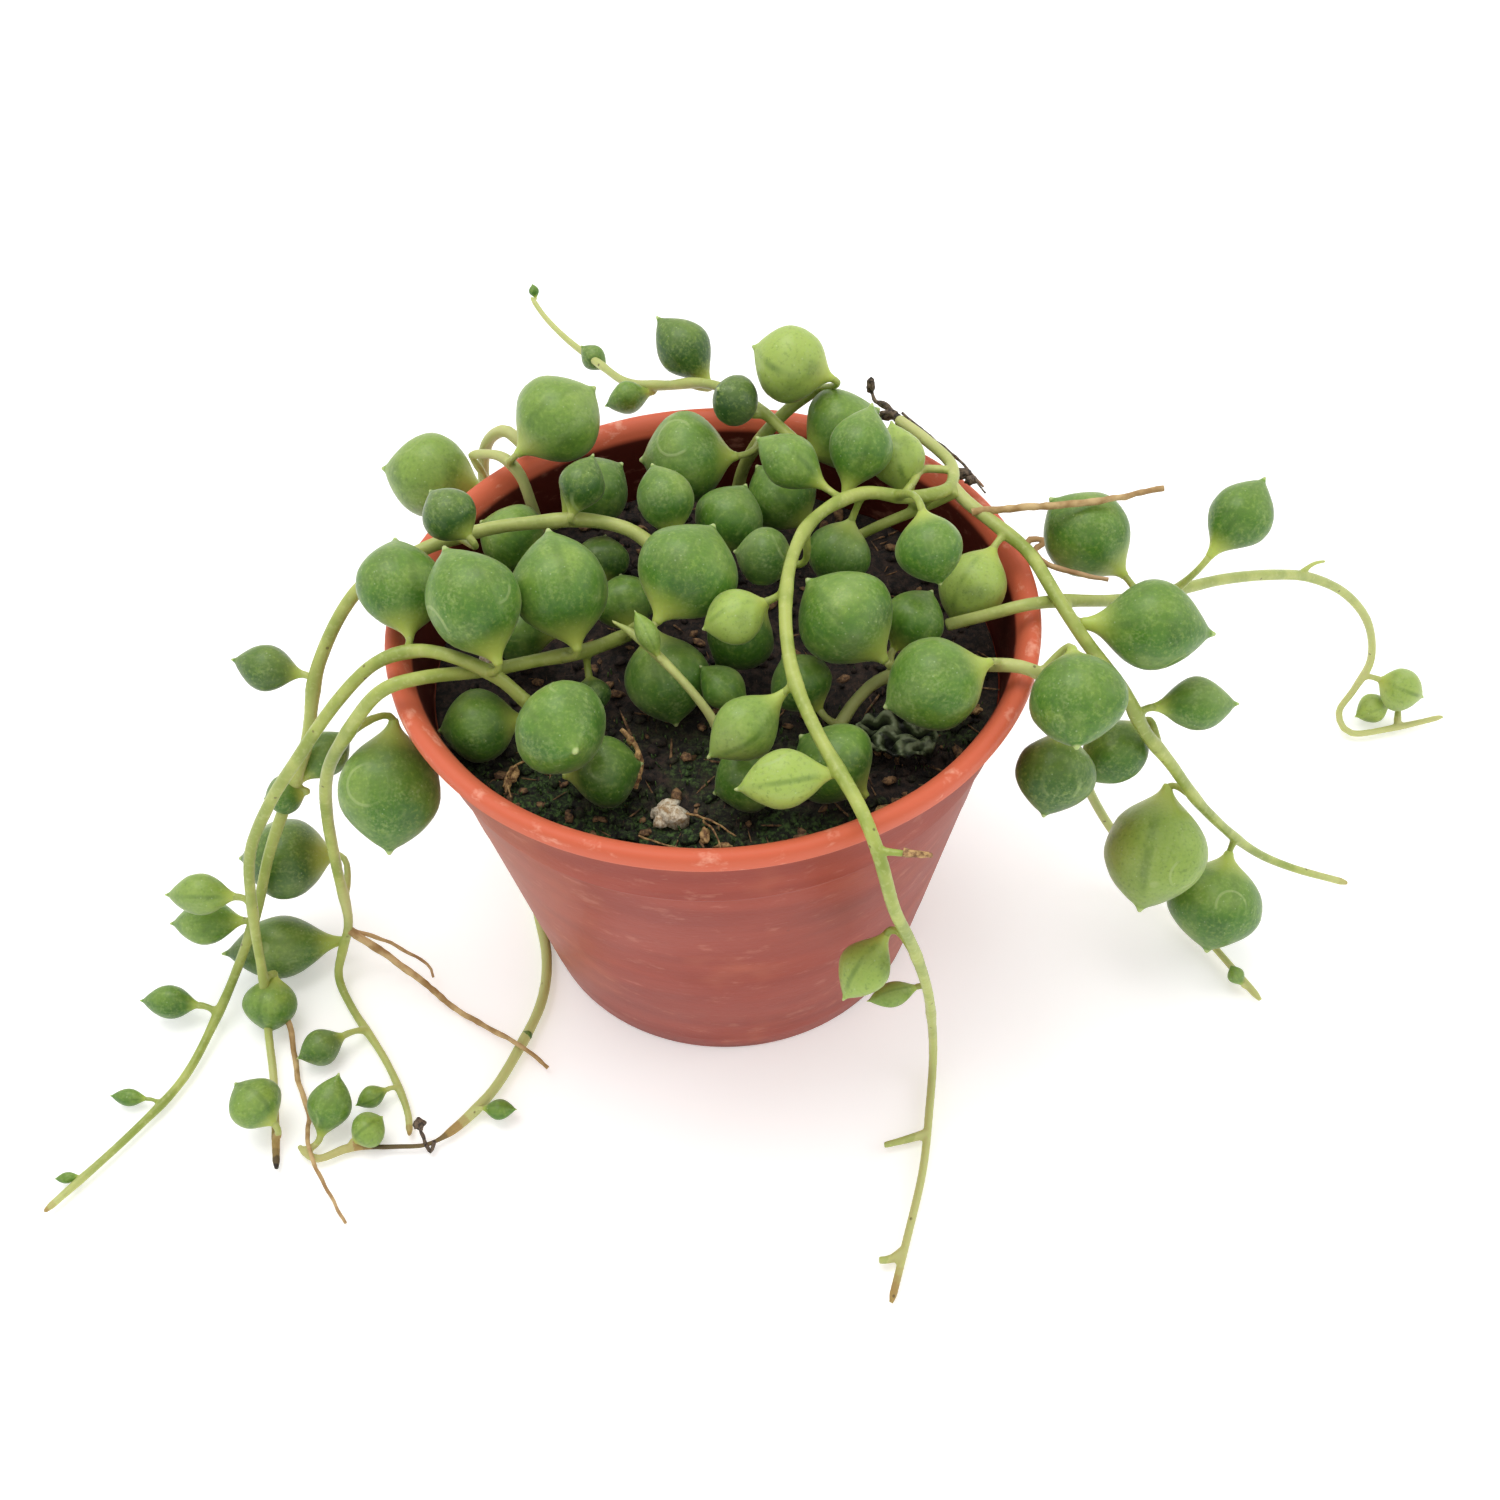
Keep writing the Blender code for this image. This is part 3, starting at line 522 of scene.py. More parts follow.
def makeSoil():
    low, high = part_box("potting_soil")
    radius = high.x
    level = high.z - soilLook["level"] * mm
    count = int(2 * radius / (soilLook["spacing"] * mm))
    deselectAll()
    bpy.ops.mesh.primitive_circle_add(vertices=180, radius=radius, fill_type="NOTHING",
                                      location=(0, 0, level))
    soil = bpy.context.object
    bpy.ops.object.transform_apply(location=True, rotation=True, scale=True)
    bpy.ops.object.mode_set(mode="EDIT")
    bpy.ops.mesh.select_all(action="SELECT")
    rings = count // 2 - 3
    for i in range(rings):   # rings close up towards the middle
        share = 1 - 1 / (rings + 3 - i)
        bpy.ops.mesh.extrude_edges_move(TRANSFORM_OT_translate={"value": (0, 0, 0)})
        bpy.ops.transform.resize(value=(share, share, 1), center_override=(0, 0, level))
    bpy.ops.mesh.extrude_edges_move(TRANSFORM_OT_translate={"value": (0, 0, 0)})
    bpy.ops.mesh.merge(type="CENTER")
    bpy.ops.mesh.select_all(action="SELECT")
    bpy.ops.mesh.region_to_loop()
    foot = (radius - 9 * mm) / radius
    bpy.ops.mesh.extrude_edges_move(TRANSFORM_OT_translate={"value": (0, 0, low.z - level)})
    bpy.ops.transform.resize(value=(foot, foot, 1), center_override=(0, 0, low.z))
    bpy.ops.mesh.edge_face_add()
    bpy.ops.mesh.select_all(action="SELECT")
    bpy.ops.mesh.normals_make_consistent(inside=False)
    bpy.ops.object.mode_set(mode="OBJECT")
    for corner in soil.data.vertices:
        if corner.co.z > level - 0.01 * mm:
            far = math.hypot(corner.co.x, corner.co.y) / radius
            corner.co.z += soilRise(corner.co.x, corner.co.y) * (1 if far < soilLook["rim"] else 0.4)
    settle(soil, "pottingSoil", peat, ["potting_soil"])
    return level


soilLevel = makeSoil()


def scatterSpot(front):
    # front is the share of the bits behind the moss edge that are passed over
    reach = soilLook["reach"]
    while True:
        x = rng.uniform(-reach, reach)
        y = rng.uniform(-reach, reach)
        if math.hypot(x, y) < reach and rng.random() > (front if y > soilLook["mossEdge"] else 0.0):
            return x, y


def joinAll(pieces):
    pick(*pieces)
    bpy.ops.object.join()
    return bpy.context.object


def scatterBits(name, count, size, stretch, material, node, front=0.0, sink=0.3, tall=False,
                spots=None):
    # one rough bit, then copied; each copy is turned, scaled and pushed out of shape
    deselectAll()
    bpy.ops.mesh.primitive_ico_sphere_add(subdivisions=2 if count < 10 else 1, radius=1, location=(0, 0, 0))
    master = bpy.context.object
    bits = []
    for i in range(count):
        bit = master.copy()
        bit.data = master.data.copy()
        bpy.context.scene.collection.objects.link(bit)
        shift = Vector((rng.uniform(0, 50), rng.uniform(0, 50), 0))
        for corner in bit.data.vertices:
            corner.co *= 1 + 0.55 * noise.noise(corner.co * 1.6 + shift)
        x, y = spots[i] if spots else scatterSpot(front)
        scale = size * rng.uniform(0.45, 1.25)
        lean = rng.uniform(0, 0.5) if tall else rng.uniform(-0.5, 0.5)
        turn = Matrix.Rotation(rng.uniform(0, 6.28), 4, "Z") @ Matrix.Rotation(lean, 4, "Y")
        shape = Matrix.Diagonal((*(Vector(stretch) * scale * mm), 1))
        z = soilLevel + soilRise(x * mm, y * mm) + scale * stretch[2] * mm * (1 - sink)
        bit.matrix_world = Matrix.Translation((x * mm, y * mm, z)) @ turn @ shape
        bits.append(bit)
    bpy.data.objects.remove(master)
    return settle(joinAll(bits), name, material, [node])


scatterBits("barkCrumbs", soilLook["crumbs"] // 3, 0.85, (1.3, 0.8, 0.45), barkBits, "bark_chip",
            0.5)
scatterBits("peatCrumbs", soilLook["crumbs"], 0.95, (1, 0.85, 0.6), peat, "potting_soil", 0.4)
scatterBits("fibres", soilLook["fibres"], 1.6, (1.5, 0.1, 0.1), barkBits, "bark_chip", 0.5, 0.0)
scatterBits("moss", soilLook["moss"], 0.62, (0.22, 0.22, 1.0), mossTips, "potting_soil", 0.93,
            0.5, True)
# five lumps make the one big grain, two more are small ones further off
perliteSpots = [(-6.7, -26.4), (-7.9, -25.6), (-5.4, -26.9), (-6.3, -25.1), (-7.3, -27.4), (-30.5, 2.5),
                (22, 5)]
scatterBits("perliteGrain", len(perliteSpots), 1.5, (1.0, 0.85, 0.7), expandedPerlite,
            "perlite_grain", sink=0.1, spots=perliteSpots)
print("soil ready")


leafShapes = {
    # share of the length from the neck, share of the half width
    "plump": [
        (-0.05, 0.09), (0, 0.11), (0.04, 0.17), (0.08, 0.27), (0.13, 0.43), (0.18, 0.59), (0.24, 0.74),
        (0.31, 0.87), (0.39, 0.955), (0.48, 1), (0.57, 0.995), (0.65, 0.94), (0.72, 0.85), (0.79, 0.72),
        (0.85, 0.565), (0.9, 0.4), (0.935, 0.27), (0.96, 0.155), (0.98, 0.09), (1, 0.055), (1.03, 0.02),
    ],
    "slim": [
        (-0.06, 0.12), (0, 0.14), (0.06, 0.19), (0.12, 0.29), (0.18, 0.44), (0.25, 0.63), (0.33, 0.81),
        (0.42, 0.95), (0.5, 1), (0.58, 0.985), (0.66, 0.91), (0.73, 0.79), (0.8, 0.63), (0.86, 0.46),
        (0.91, 0.3), (0.945, 0.17), (0.97, 0.1), (1, 0.06), (1.04, 0.02),
    ],
}
leafLook = {
    "sides": 30,
    "flat": 0.9,            # thickness against width
    "keel": 0.035,          # how far the two edges stand out
    "dents": 0.035,         # share of the half width
    "slim": 0.74,           # width against length, under which a leaf has the slim outline
    "turn": 0.5,            # radians that the broad side may turn away from the front
    "lean": 0.09,           # share of the half width that the middle may bow sideways
}


def modelLeaf(shape):
    # modelled once at length 1 and half width 1, neck at the bottom, point at the top
    outline = leafShapes[shape]
    deselectAll()
    height, radius = outline[0]
    bpy.ops.mesh.primitive_circle_add(vertices=leafLook["sides"], radius=radius, fill_type="TRIFAN",
                                      location=(0, 0, height))
    leaf = bpy.context.object
    bpy.ops.object.transform_apply(location=True, rotation=True, scale=True)
    bpy.ops.object.mode_set(mode="EDIT")
    bpy.ops.mesh.select_all(action="SELECT")
    bpy.ops.mesh.region_to_loop()
    for (oldHeight, oldRadius), (newHeight, newRadius) in zip(outline, outline[1:]):
        for step in (0.5, 1.0):   # two rings between points of the outline
            lift = (newHeight - oldHeight) / 2
            now = oldRadius + (newRadius - oldRadius) * step
            before = oldRadius + (newRadius - oldRadius) * (step - 0.5)
            z = oldHeight + (newHeight - oldHeight) * step
            bpy.ops.mesh.extrude_edges_move(TRANSFORM_OT_translate={"value": (0, 0, lift)})
            bpy.ops.transform.resize(value=(now / before, now / before, 1), center_override=(0, 0, z))
    bpy.ops.mesh.merge(type="CENTER")
    bpy.ops.mesh.select_all(action="SELECT")
    bpy.ops.mesh.normals_make_consistent(inside=False)
    bpy.ops.mesh.vertices_smooth(factor=0.4, repeat=2)
    bpy.ops.transform.resize(value=(1, leafLook["flat"], 1), center_override=(0, 0, 0))
    bpy.ops.object.mode_set(mode="OBJECT")
    place = leaf.data.attributes.new("leafPlace", "FLOAT_VECTOR", "POINT")
    for corner, own in zip(leaf.data.vertices, place.data):
        around = abs(math.cos(math.atan2(corner.co.y, corner.co.x)))
        grow = 1 + leafLook["keel"] * around ** 10
        corner.co = Vector((corner.co.x * grow, corner.co.y * grow, corner.co.z))
        own.vector = corner.co
    return leaf


leafMasters = {shape: modelLeaf(shape) for shape in leafShapes}

# Each leaf: x, y, z of its middle in mm, heading and tilt of its point in degrees, length, width, tone from
# 0 dark to 1 light. The places are those of the solids.
leavesOn = {
    "back_left_shoot": [
        (-40.5, 33, 58.5, 170, 10, 14.5, 12, 0.72), (-20.5, 27.5, 72, 30, 25, 13.5, 12.5, 0.66),
    ],
    "left_vine_a": [
        (-33, 7, 73, 135, 30, 8, 7, 0.2), (-16.5, 13, 72, 60, 40, 8.5, 6, 0.22),
        (-16, 20.5, 65, 35, 25, 11, 9.5, 0.3), (-6, 13, 69, 110, 40, 10, 7.5, 0.36),
    ],
    "left_vine_b": [
        (-39, -1.5, 68.5, 100, 25, 13.5, 11, 0.5), (-29, -9.5, 72.5, 120, 40, 15, 11.5, 0.45),
        (-30, -14, 56, 185, -5, 10.5, 9.5, 0.42), (-18.4, -24.8, 65.9, -65, 20, 13, 11.5, 0.5),
    ],
    "left_vine_c": [
        (-18.5, -4, 69.5, 105, 40, 15, 12, 0.5), (-42, -18.5, 49.5, -95, -40, 16.5, 13, 0.4),
        (-6.5, -8.5, 57.5, -75, -40, 12.5, 11, 0.35),
    ],
    "back_shoot": [
        (-3, 27, 65, 180, 0, 13, 12.5, 0.5), (12, 33, 76, 160, 15, 11.5, 10.5, 1.0),
    ],
    "back_vine": [
        (19, 30, 66, 25, 20, 12, 11.5, 0.62),
    ],
    "front_vine": [
        (11, 13.5, 74, 150, 25, 11, 7.2, 0.62), (7, 2.5, 67.5, 170, 10, 8, 7.5, 0.28),
        (27.5, -3, 73, -75, -40, 9.5, 8.5, 0.45), (3.7, -25.3, 66, -150, -25, 11.4, 7.8, 0.72),
    ],
    "right_vine": [
        (34, 1.4, 62.4, -130, -35, 11.2, 8.8, 0.95), (53.6, -10.2, 41.6, -145, -30, 11, 8.5, 0.35),
        (60.6, -14, 24.5, -110, -40, 17.5, 14, 0.78), (72.3, -14, 11, -110, -40, 14.5, 14, 0.5),
    ],
    "far_right_vine": [
        (50.5, 10.5, 62, 140, 30, 14, 11.5, 0.5), (55, -8.7, 63, -5, -5, 16, 11.5, 0.5),
    ],
    "under_vine": [
        (16.5, -9.5, 67.5, 140, 30, 13.5, 12, 0.48), (11, -11.5, 58.5, 130, 35, 8.5, 8, 0.35),
        (27, -18.5, 64.5, -165, -15, 13.5, 11.5, 0.5), (42.5, -24, 67, -95, -15, 13, 11.5, 0.42),
        (43, -19, 48, -110, -40, 11.5, 10, 0.25), (25.5, -5, 62.5, 45, 35, 9, 8, 0.45),
    ],
    "cut_shoot": [
        (-3, -3, 70.5, 55, 25, 14, 12.5, 0.48),
    ],
    "soil": [
        (-27.5, 17, 60, 155, 20, 10, 9.5, 0.55), (-14, -22.5, 56, 5, 5, 9.5, 9, 0.3),
        (2.5, 14.5, 64, 55, 35, 10.5, 9.5, 0.45), (10, 21.5, 62, 135, 30, 11, 10, 0.4),
        (3.5, -3, 59, -140, -30, 10, 9.5, 0.35), (3.5, -25.5, 56.5, -165, -15, 8.5, 8, 0.45),
        (14, -25.5, 58.5, 145, 30, 10.5, 10.5, 0.4), (-11.8, 6, 57.5, 100, 20, 8.5, 8.5, 0.45),
        (-25.6, 1.6, 57.8, 170, 10, 9.6, 8.6, 0.35), (-15.5, 15, 57.2, 80, 20, 8, 7.5, 0.25),
    ],
}
smallLeavesOn = {
    "front_vine": [
        (3, -10.4, 69.8, -165, -15, 8.6, 6.9, 0.9), (8.1, -34.2, 66, -175, -5, 11.5, 6.8, 0.96),
        (17.5, -39.5, 36, -135, -35, 10, 6.5, 0.85), (22.5, -32, 18, -170, -10, 7.5, 3.5, 0.75),
        (26, 19.5, 69, 105, 40, 10.5, 7.5, 0.95), (20, 16.5, 73.5, 65, 40, 12, 8.5, 0.5),
        (16.9, 8.2, 62.9, -130, -52, 9.5, 8.5, 0.35),
    ],
    "right_vine": [
        (62, -12, 52, 0, 0, 11, 7, 0.45),
    ],
    "far_right_vine": [
        (70.5, 11, 64, 45, 30, 12.5, 8.5, 0.4), (113.5, 30.5, 8.5, -20, -15, 8, 7, 0.82),
        (110.5, 31, 3.2, -160, -10, 7, 5, 0.95),
    ],
    "under_vine": [
        (75, -21.5, 3, 125, 35, 3.5, 2.5, 0.6),
    ],
    "left_vine_a": [
        (-61.5, 4, 50, 170, 10, 10, 6.5, 0.2), (-61.5, -5.5, 34, 185, -5, 6, 5.5, 0.35),
        (-55.9, -1.2, 37, 45, 15, 9.5, 6.5, 0.4), (-77, -11.5, 13, 180, 0, 11, 7, 0.6),
        (-83.5, -19.5, 4, 175, 5, 9, 5, 0.4), (-87, -34, 2, 175, 5, 5.5, 2.5, 0.5),
        (-93, -46, 1.6, 185, 0, 3.5, 1.6, 0.6),
    ],
    "left_vine_b": [
        (-75, -13.5, 22, 175, 0, 10.5, 6, 0.72), (-68, -21, 5, -100, -40, 8.5, 8, 0.6),
        (-67, -38.5, 6.5, 140, 30, 8, 7.5, 0.62),
    ],
    "left_vine_c": [
        (-65.4, -3.6, 17.9, 180, 0, 14, 12, 0.22), (-68, -11, 5.2, 185, 0, 17.5, 9.5, 0.3),
        (-60, -27.5, 3.2, -150, 0, 7.5, 5.5, 0.3), (-51.8, -35.7, 2.3, -150, 0, 5, 3.2, 0.4),
        (-16, -9, 55.5, -80, -35, 5.2, 4.6, 0.15),
    ],
    "back_runner": [
        (-57, -38.5, 5, 65, 40, 9.5, 6, 0.6), (-51.5, -41.5, 3.5, 30, 25, 5.5, 5, 0.7),
        (-33.5, -38.5, 2.5, -5, 0, 5, 3, 0.45), (-30.5, -26, 1.5, 60, 20, 2.5, 1.6, 0.2),
    ],
    "back_vine": [
        (-12, 48.5, 60, -170, -10, 7.5, 5, 0.6), (4, 30, 72, -155, 50, 8, 7, 0.12),
        (-3.5, 51.5, 66, 135, 35, 12.5, 8, 0.2), (-18, 62.5, 58, 145, 30, 5.5, 4, 0.35),
        (-28, 77.5, 61, 105, 40, 2.5, 1.6, 0.4),
    ],
    "cut_shoot": [
        (1.2, -12, 58.7, 145, 30, 8.2, 5.6, 0.5), (-7.9, -11.2, 67.7, 128, 48, 6.7, 2.8, 0.75),
    ],
}


def leafAxis(row):
    heading = math.radians(row[3])
    tilt = math.radians(row[4])
    return Vector((math.cos(tilt) * math.cos(heading), math.cos(tilt) * math.sin(heading), math.sin(tilt)))


def leafNeck(row):
    return Vector(row[:3]) - leafAxis(row) * row[5] / 2


def placeLeaf(row):
    length, width, tone = row[5:8]
    master = leafMasters["slim" if width < leafLook["slim"] * length else "plump"]
    leaf = master.copy()
    leaf.data = master.data.copy()
    bpy.context.scene.collection.objects.link(leaf)
    axis = leafAxis(row)
    eye = (Vector(cameraLook["place"]) / mm - Vector(row[:3])).normalized()
    wide = axis.cross(eye).normalized()   # broad side towards the front
    wide = (Matrix.Rotation(rng.uniform(-leafLook["turn"], leafLook["turn"]), 3, axis) @ wide).normalized()
    thick = axis.cross(wide)
    if thick.z < 0:
        thick, wide = -thick, -wide
    basis = Matrix((wide * width / 2, thick * width / 2, axis * length)).transposed().to_4x4()
    basis.translation = leafNeck(row)
    seed = Vector((rng.uniform(0, 90), rng.uniform(0, 90), rng.uniform(0, 90)))
    lean = rng.uniform(-leafLook["lean"], leafLook["lean"])
    dents = leafLook["dents"]
    for corner in leaf.data.vertices:
        x, y, z = corner.co
        swell = 1 + dents * 1.6 * noise.noise(Vector((x, y, z * 1.5)) * 1.1 + seed)
        swell += dents * 0.6 * noise.noise(Vector((x, y, z * 1.5)) * 2.9 + seed)
        bow = lean * math.sin(math.pi * min(1, max(0, z))) * 1.2
        corner.co = Vector((x * swell + bow, y * swell, z))
    leaf.matrix_world = Matrix.Scale(mm, 4) @ basis
    shade = leaf.data.attributes.new("leafTone", "FLOAT", "POINT")
    shade.data.foreach_set("value", [tone] * len(leaf.data.vertices))
    return leaf


# Each stem: its route in mm from root to tip, its radius there and at the tip, and its age along it
# (share of the length, age), where 0 is fresh, 1 corky and 2 dead.
stems = {
    "front_vine": {
        "route": [
            (27, 32.5, 66), (30, 27.5, 66.5), (33, 20, 67.5), (31.5, 13, 69), (26, 10.5, 70),
            (21, 10.5, 71), (16.5, 7.5, 72), (12.5, 2.5, 72.5), (10, -4.5, 72.5), (9, -13, 72),
            (9.5, -21, 70), (12, -29, 68), (16, -38, 66), (18, -43, 63), (20, -44, 54), (23, -41, 42),
            (26, -37.5, 27), (28, -33.5, 11), (28.5, -34, 3), (27.5, -40, 1.6), (25.5, -50, 1.5),
            (22, -61, 1.5), (19.5, -68.5, 1.5),
        ],
        "radius": (0.82, 0.52),
        "age": [(0, 0.5), (0.12, 0.1), (0.7, 0.05), (0.85, 0.45), (0.97, 0.6), (1, 1.2)],
    },
    "right_vine": {
        "route": [
            (32.4, 14.6, 68.3), (34.2, 12, 67.5), (38, 7.6, 66.6), (41.2, 2.7, 66.3), (43.6, -5.4, 65.8),
            (46.7, -10.6, 63), (52, -12.5, 56), (56, -12.5, 48), (61, -11.5, 40), (68, -9.5, 28),
            (78, -6, 14), (86.5, -4, 6), (96.5, -4.5, 1.8),
        ],
        "radius": (0.88, 0.55),
        "age": [(0, 0.4), (0.1, 0.1), (0.9, 0.1), (0.97, 0.4), (1, 0.8)],
    },
    "far_right_vine": {
        "route": [
            (30, -4.5, 61), (35, -5, 63), (40, -5.3, 64.8), (45.2, -3.3, 63.3), (53.5, 1, 59),
            (62, 7, 54.5), (72, 14, 50), (82, 20.5, 44.5), (90, 25.5, 39), (98, 29, 32), (104, 30.5, 24),
            (107.5, 32, 14), (106.5, 32, 7), (104.5, 30.5, 3), (106, 27, 1.6), (114, 28, 1.5),
            (122.5, 30, 1.5),
        ],
        "radius": (0.82, 0.48),
        "age": [(0, 0.2), (0.5, 0.15), (0.8, 0.4), (1, 0.6)],
    },
    "under_vine": {
        "route": [
            (15, -15, 52.5), (18, -11.5, 55), (22, -9.5, 57), (28.5, -11.5, 59.5), (34, -14.5, 63.5),
            (38.5, -17, 65), (43, -16.5, 60), (48.6, -7, 39.8), (54, -3, 23.5), (61, -2.5, 10),
            (67, -6, 3.5), (72, -13, 1.8), (78, -25, 1.5),
        ],
        "radius": (0.8, 0.5),
        "age": [(0, 0.3), (0.8, 0.3), (0.93, 0.5), (1, 0.6)],
    },
    "left_vine_a": {
        "route": [
            (-7.5, 8, 65.5), (-11, 10, 67), (-16.5, 11.5, 67.5), (-23, 12, 67), (-30, 11.5, 66.5),
            (-38.5, 8.5, 65.8), (-47, 5.5, 62), (-53.5, 1, 53), (-57, -3, 42), (-61.5, -5.5, 33),
            (-65.5, -8.5, 25), (-69, -12, 16), (-73, -15.5, 8), (-76.5, -21, 3), (-80, -31, 1.6),
            (-86, -40, 1.5), (-95, -51, 1.5),
        ],
        "radius": (0.92, 0.52),
        "age": [(0, 0.2), (0.9, 0.1), (0.98, 0.3), (1, 0.9)],
    },
    "left_vine_b": {
        "route": [
            (-23.5, -14, 59.5), (-27, -12.9, 63.4), (-32.1, -12.1, 66.4), (-37, -10.5, 66),
            (-42, -11.5, 65), (-47.5, -13.4, 60.3), (-54, -15.1, 52.1), (-60, -15, 43), (-65, -15.5, 33),
            (-67.5, -17, 20), (-68.5, -19.5, 9), (-68.3, -25, 3), (-66.5, -33, 1.5), (-64, -46, 1.5),
        ],
        "radius": (0.84, 0.5),
        "age": [(0, 0.1), (0.8, 0.15), (0.94, 0.7), (1, 2.0)],
    },
    "left_vine_c": {
        "route": [
            (-11, 0.5, 57), (-16.5, -5.5, 60), (-22.5, -8.8, 61.8), (-28.6, -10.8, 62.4),
            (-36, -14.8, 65.5), (-41, -16.5, 64.8), (-46.8, -15.8, 56.6), (-51.3, -13.8, 47.7),
            (-54, -12, 37), (-55.5, -11.5, 24), (-56.5, -11.5, 12), (-58.5, -12.5, 6), (-59.5, -15, 2.5),
            (-57, -20, 1.3), (-51, -29, 1.3), (-47, -37, 1.3), (-46, -41.5, 1.3),
        ],
        "radius": (0.88, 0.48),
        "age": [(0, 0.1), (0.6, 0.1), (0.66, 0.5), (0.72, 0.1), (0.97, 0.3), (1, 1)],
    },
    "back_runner": {
        "route": [
            (-26, 32, 64.2), (-29.5, 35, 65), (-33.5, 38, 58), (-35, 38, 40), (-35.5, 35, 18),
            (-36, 28, 3.5), (-35, 18, 1.6), (-32, 7, 1.4), (-30.2, -3, 1.4), (-28.3, -12, 1.4),
            (-28.6, -20, 1.4), (-31.4, -28, 1.4), (-35.5, -36, 1.4), (-42, -42.5, 1.4), (-48, -43.2, 1.4),
            (-54, -43, 1.4), (-58.5, -44.6, 1.4), (-61.5, -42.5, 1.4),
        ],
        "radius": (0.88, 0.55),
        "age": [(0, 0.5), (0.84, 0.4), (0.87, 1.6), (0.93, 1.8), (0.95, 0.7), (1, 0.6)],
        "girth": [(0, 1), (0.86, 1.1), (0.875, 0.5), (0.93, 0.65), (0.95, 1), (1, 0.9)],
    },
    "back_left_shoot": {
        "route": [
            (-24.5, 25, 52.5), (-25.5, 25, 60), (-26.5, 26, 64), (-28.5, 27.3, 66), (-31, 29, 65.6),
            (-34, 31, 64),
        ],
        "radius": (0.82, 0.62),
        "age": [(0, 0.6), (0.5, 0.5), (1, 0.3)],
    },
    "back_vine": {
        "route": [
            (12, 27, 67.4), (8, 32, 68.5), (4, 38.5, 67.5), (-1, 44, 65.5), (-6.5, 48, 62.5),
            (-12.5, 53.5, 59.5), (-17, 60, 58.5), (-22, 66.5, 58.5), (-26, 72.5, 59), (-28.5, 76.5, 60.5),
        ],
        "radius": (0.74, 0.4),
        "age": [(0, 0.1), (0.6, 0.3), (1, 0.4)],
    },
    "back_shoot": {
        "route": [
            (3.5, 33.5, 52.5), (5, 33.3, 58.5), (8, 32.6, 64.3), (11.5, 33.6, 67.8), (16.5, 36.5, 69.8),
        ],
        "radius": (0.95, 0.85),
        "age": [(0, 0.2), (1, 0.1)],
    },
    "cut_shoot": {
        "route": [(-12.5, -7.5, 67), (-9, -10, 66), (-3.5, -15.2, 63), (0, -17.8, 58), (0.5, -18, 52)],
        "radius": (0.56, 0.64),
        "age": [(0, 0.2), (1, 0.4)],
        "girth": [(0, 0.3), (0.12, 0.85), (0.2, 1), (1, 1)],
    },
}
# Side branches: stem, route, radius at each end
branches = [
    ("front_vine", [(33, 13, 68.6), (28.5, 14.2, 65), (23, 14.5, 62), (19, 14.6, 59.5)], (0.8, 0.75)),
    ("front_vine", [(32.2, 18.5, 67.9), (28.9, 18.6, 68), (27.3, 15.5, 68.4), (25.6, 11.6, 69.6)],
     (0.6, 0.55)),
    ("front_vine", [(17.6, -42.6, 63.4), (20, -43.6, 64), (23, -43.8, 63.8)], (0.55, 0.25)),
    ("front_vine", [(26.6, -44.5, 1.5), (23.5, -45.4, 1.6), (20.5, -46.2, 1.8)], (0.7, 0.45)),
    ("front_vine", [(21.8, -61.5, 1.5), (20, -62.6, 1.6), (18.4, -62.8, 1.8)], (0.7, 0.5)),
    ("far_right_vine", [(87.6, 24.4, 41), (90, 25.8, 41.6), (91.8, 26.4, 41.4)], (0.5, 0.25)),
]
stemLook = {
    "ring": 1.2,            # mm from one ring of the tube to the next
    "voxel": 0.27,          # mm, how finely stem and stalks are fused
    "taperFrom": 0.45,      # share of the length where the thinning starts
    "allowance": 0.03,      # mm that the softening takes away again
    "uneven": 0.04,         # share of the radius
    "tip": 0.55,            # last ring against the one before it
    "node": 1.14,           # swelling where a leaf grows, and what it loses a ring further off
    "nodeFade": 0.05,
    "stemReach": 1.8,       # mm from the middle line; what is further off is a stalk and stays fresh
    "stalkAge": 0.25,
}


def smoothRoute(points, spacing):
    points = [Vector(p) for p in points]
    ends = [2 * points[0] - points[1]] + points + [2 * points[-1] - points[-2]]
    out = []
    for i in range(1, len(ends) - 2):
        before, a, b, after = ends[i - 1:i + 3]
        count = max(1, round((b - a).length / spacing))
        for k in range(count):
            t = k / count
            out.append(0.5 * (2 * a + (b - before) * t + (2 * before - 5 * a + 4 * b - after) * t * t
                              + (3 * a - before - 3 * b + after) * t ** 3))
    out.append(points[-1])
    return out


def tube(path, radii, name="tube"):
    # a curve with round ends, made a mesh
    data = bpy.data.curves.new(name, "CURVE")
    data.dimensions = "3D"
    data.bevel_depth = mm
    data.bevel_resolution = 3
    data.use_fill_caps = True
    line = data.splines.new("POLY")
    line.points.add(len(path) - 1)
    for spot, (place, radius) in zip(line.points, zip(path, radii)):
        spot.co = (*(place * mm), 1)
        spot.radius = radius
    made = bpy.data.objects.new(name, data)
    bpy.context.scene.collection.objects.link(made)
    pick(made)
    bpy.ops.object.convert(target="MESH")
    return bpy.context.object


def stalk(row, root, rootRadius):
    # from the stem to inside the leaf, flared where it joins the stem
    axis = leafAxis(row)
    neck = leafNeck(row)
    reach = (root - neck).length
    bend = neck - axis * min(reach * 0.4, 3.0)
    thin = min(0.5, row[6] * 0.12)
    path = [root]
    radii = [rootRadius * 0.9]
    for t, radius in ((0.15, thin * 1.3), (0.32, thin * 1.08), (0.5, thin), (0.68, thin),
                      (0.85, thin * 1.05)):
        path.append(root * (1 - t) ** 2 + bend * 2 * t * (1 - t) + neck * t * t)
        radii.append(radius)
    path += [neck, neck + axis * row[5] * 0.1]
    radii += [thin * 1.12, thin * 1.1]
    return tube(path, radii)


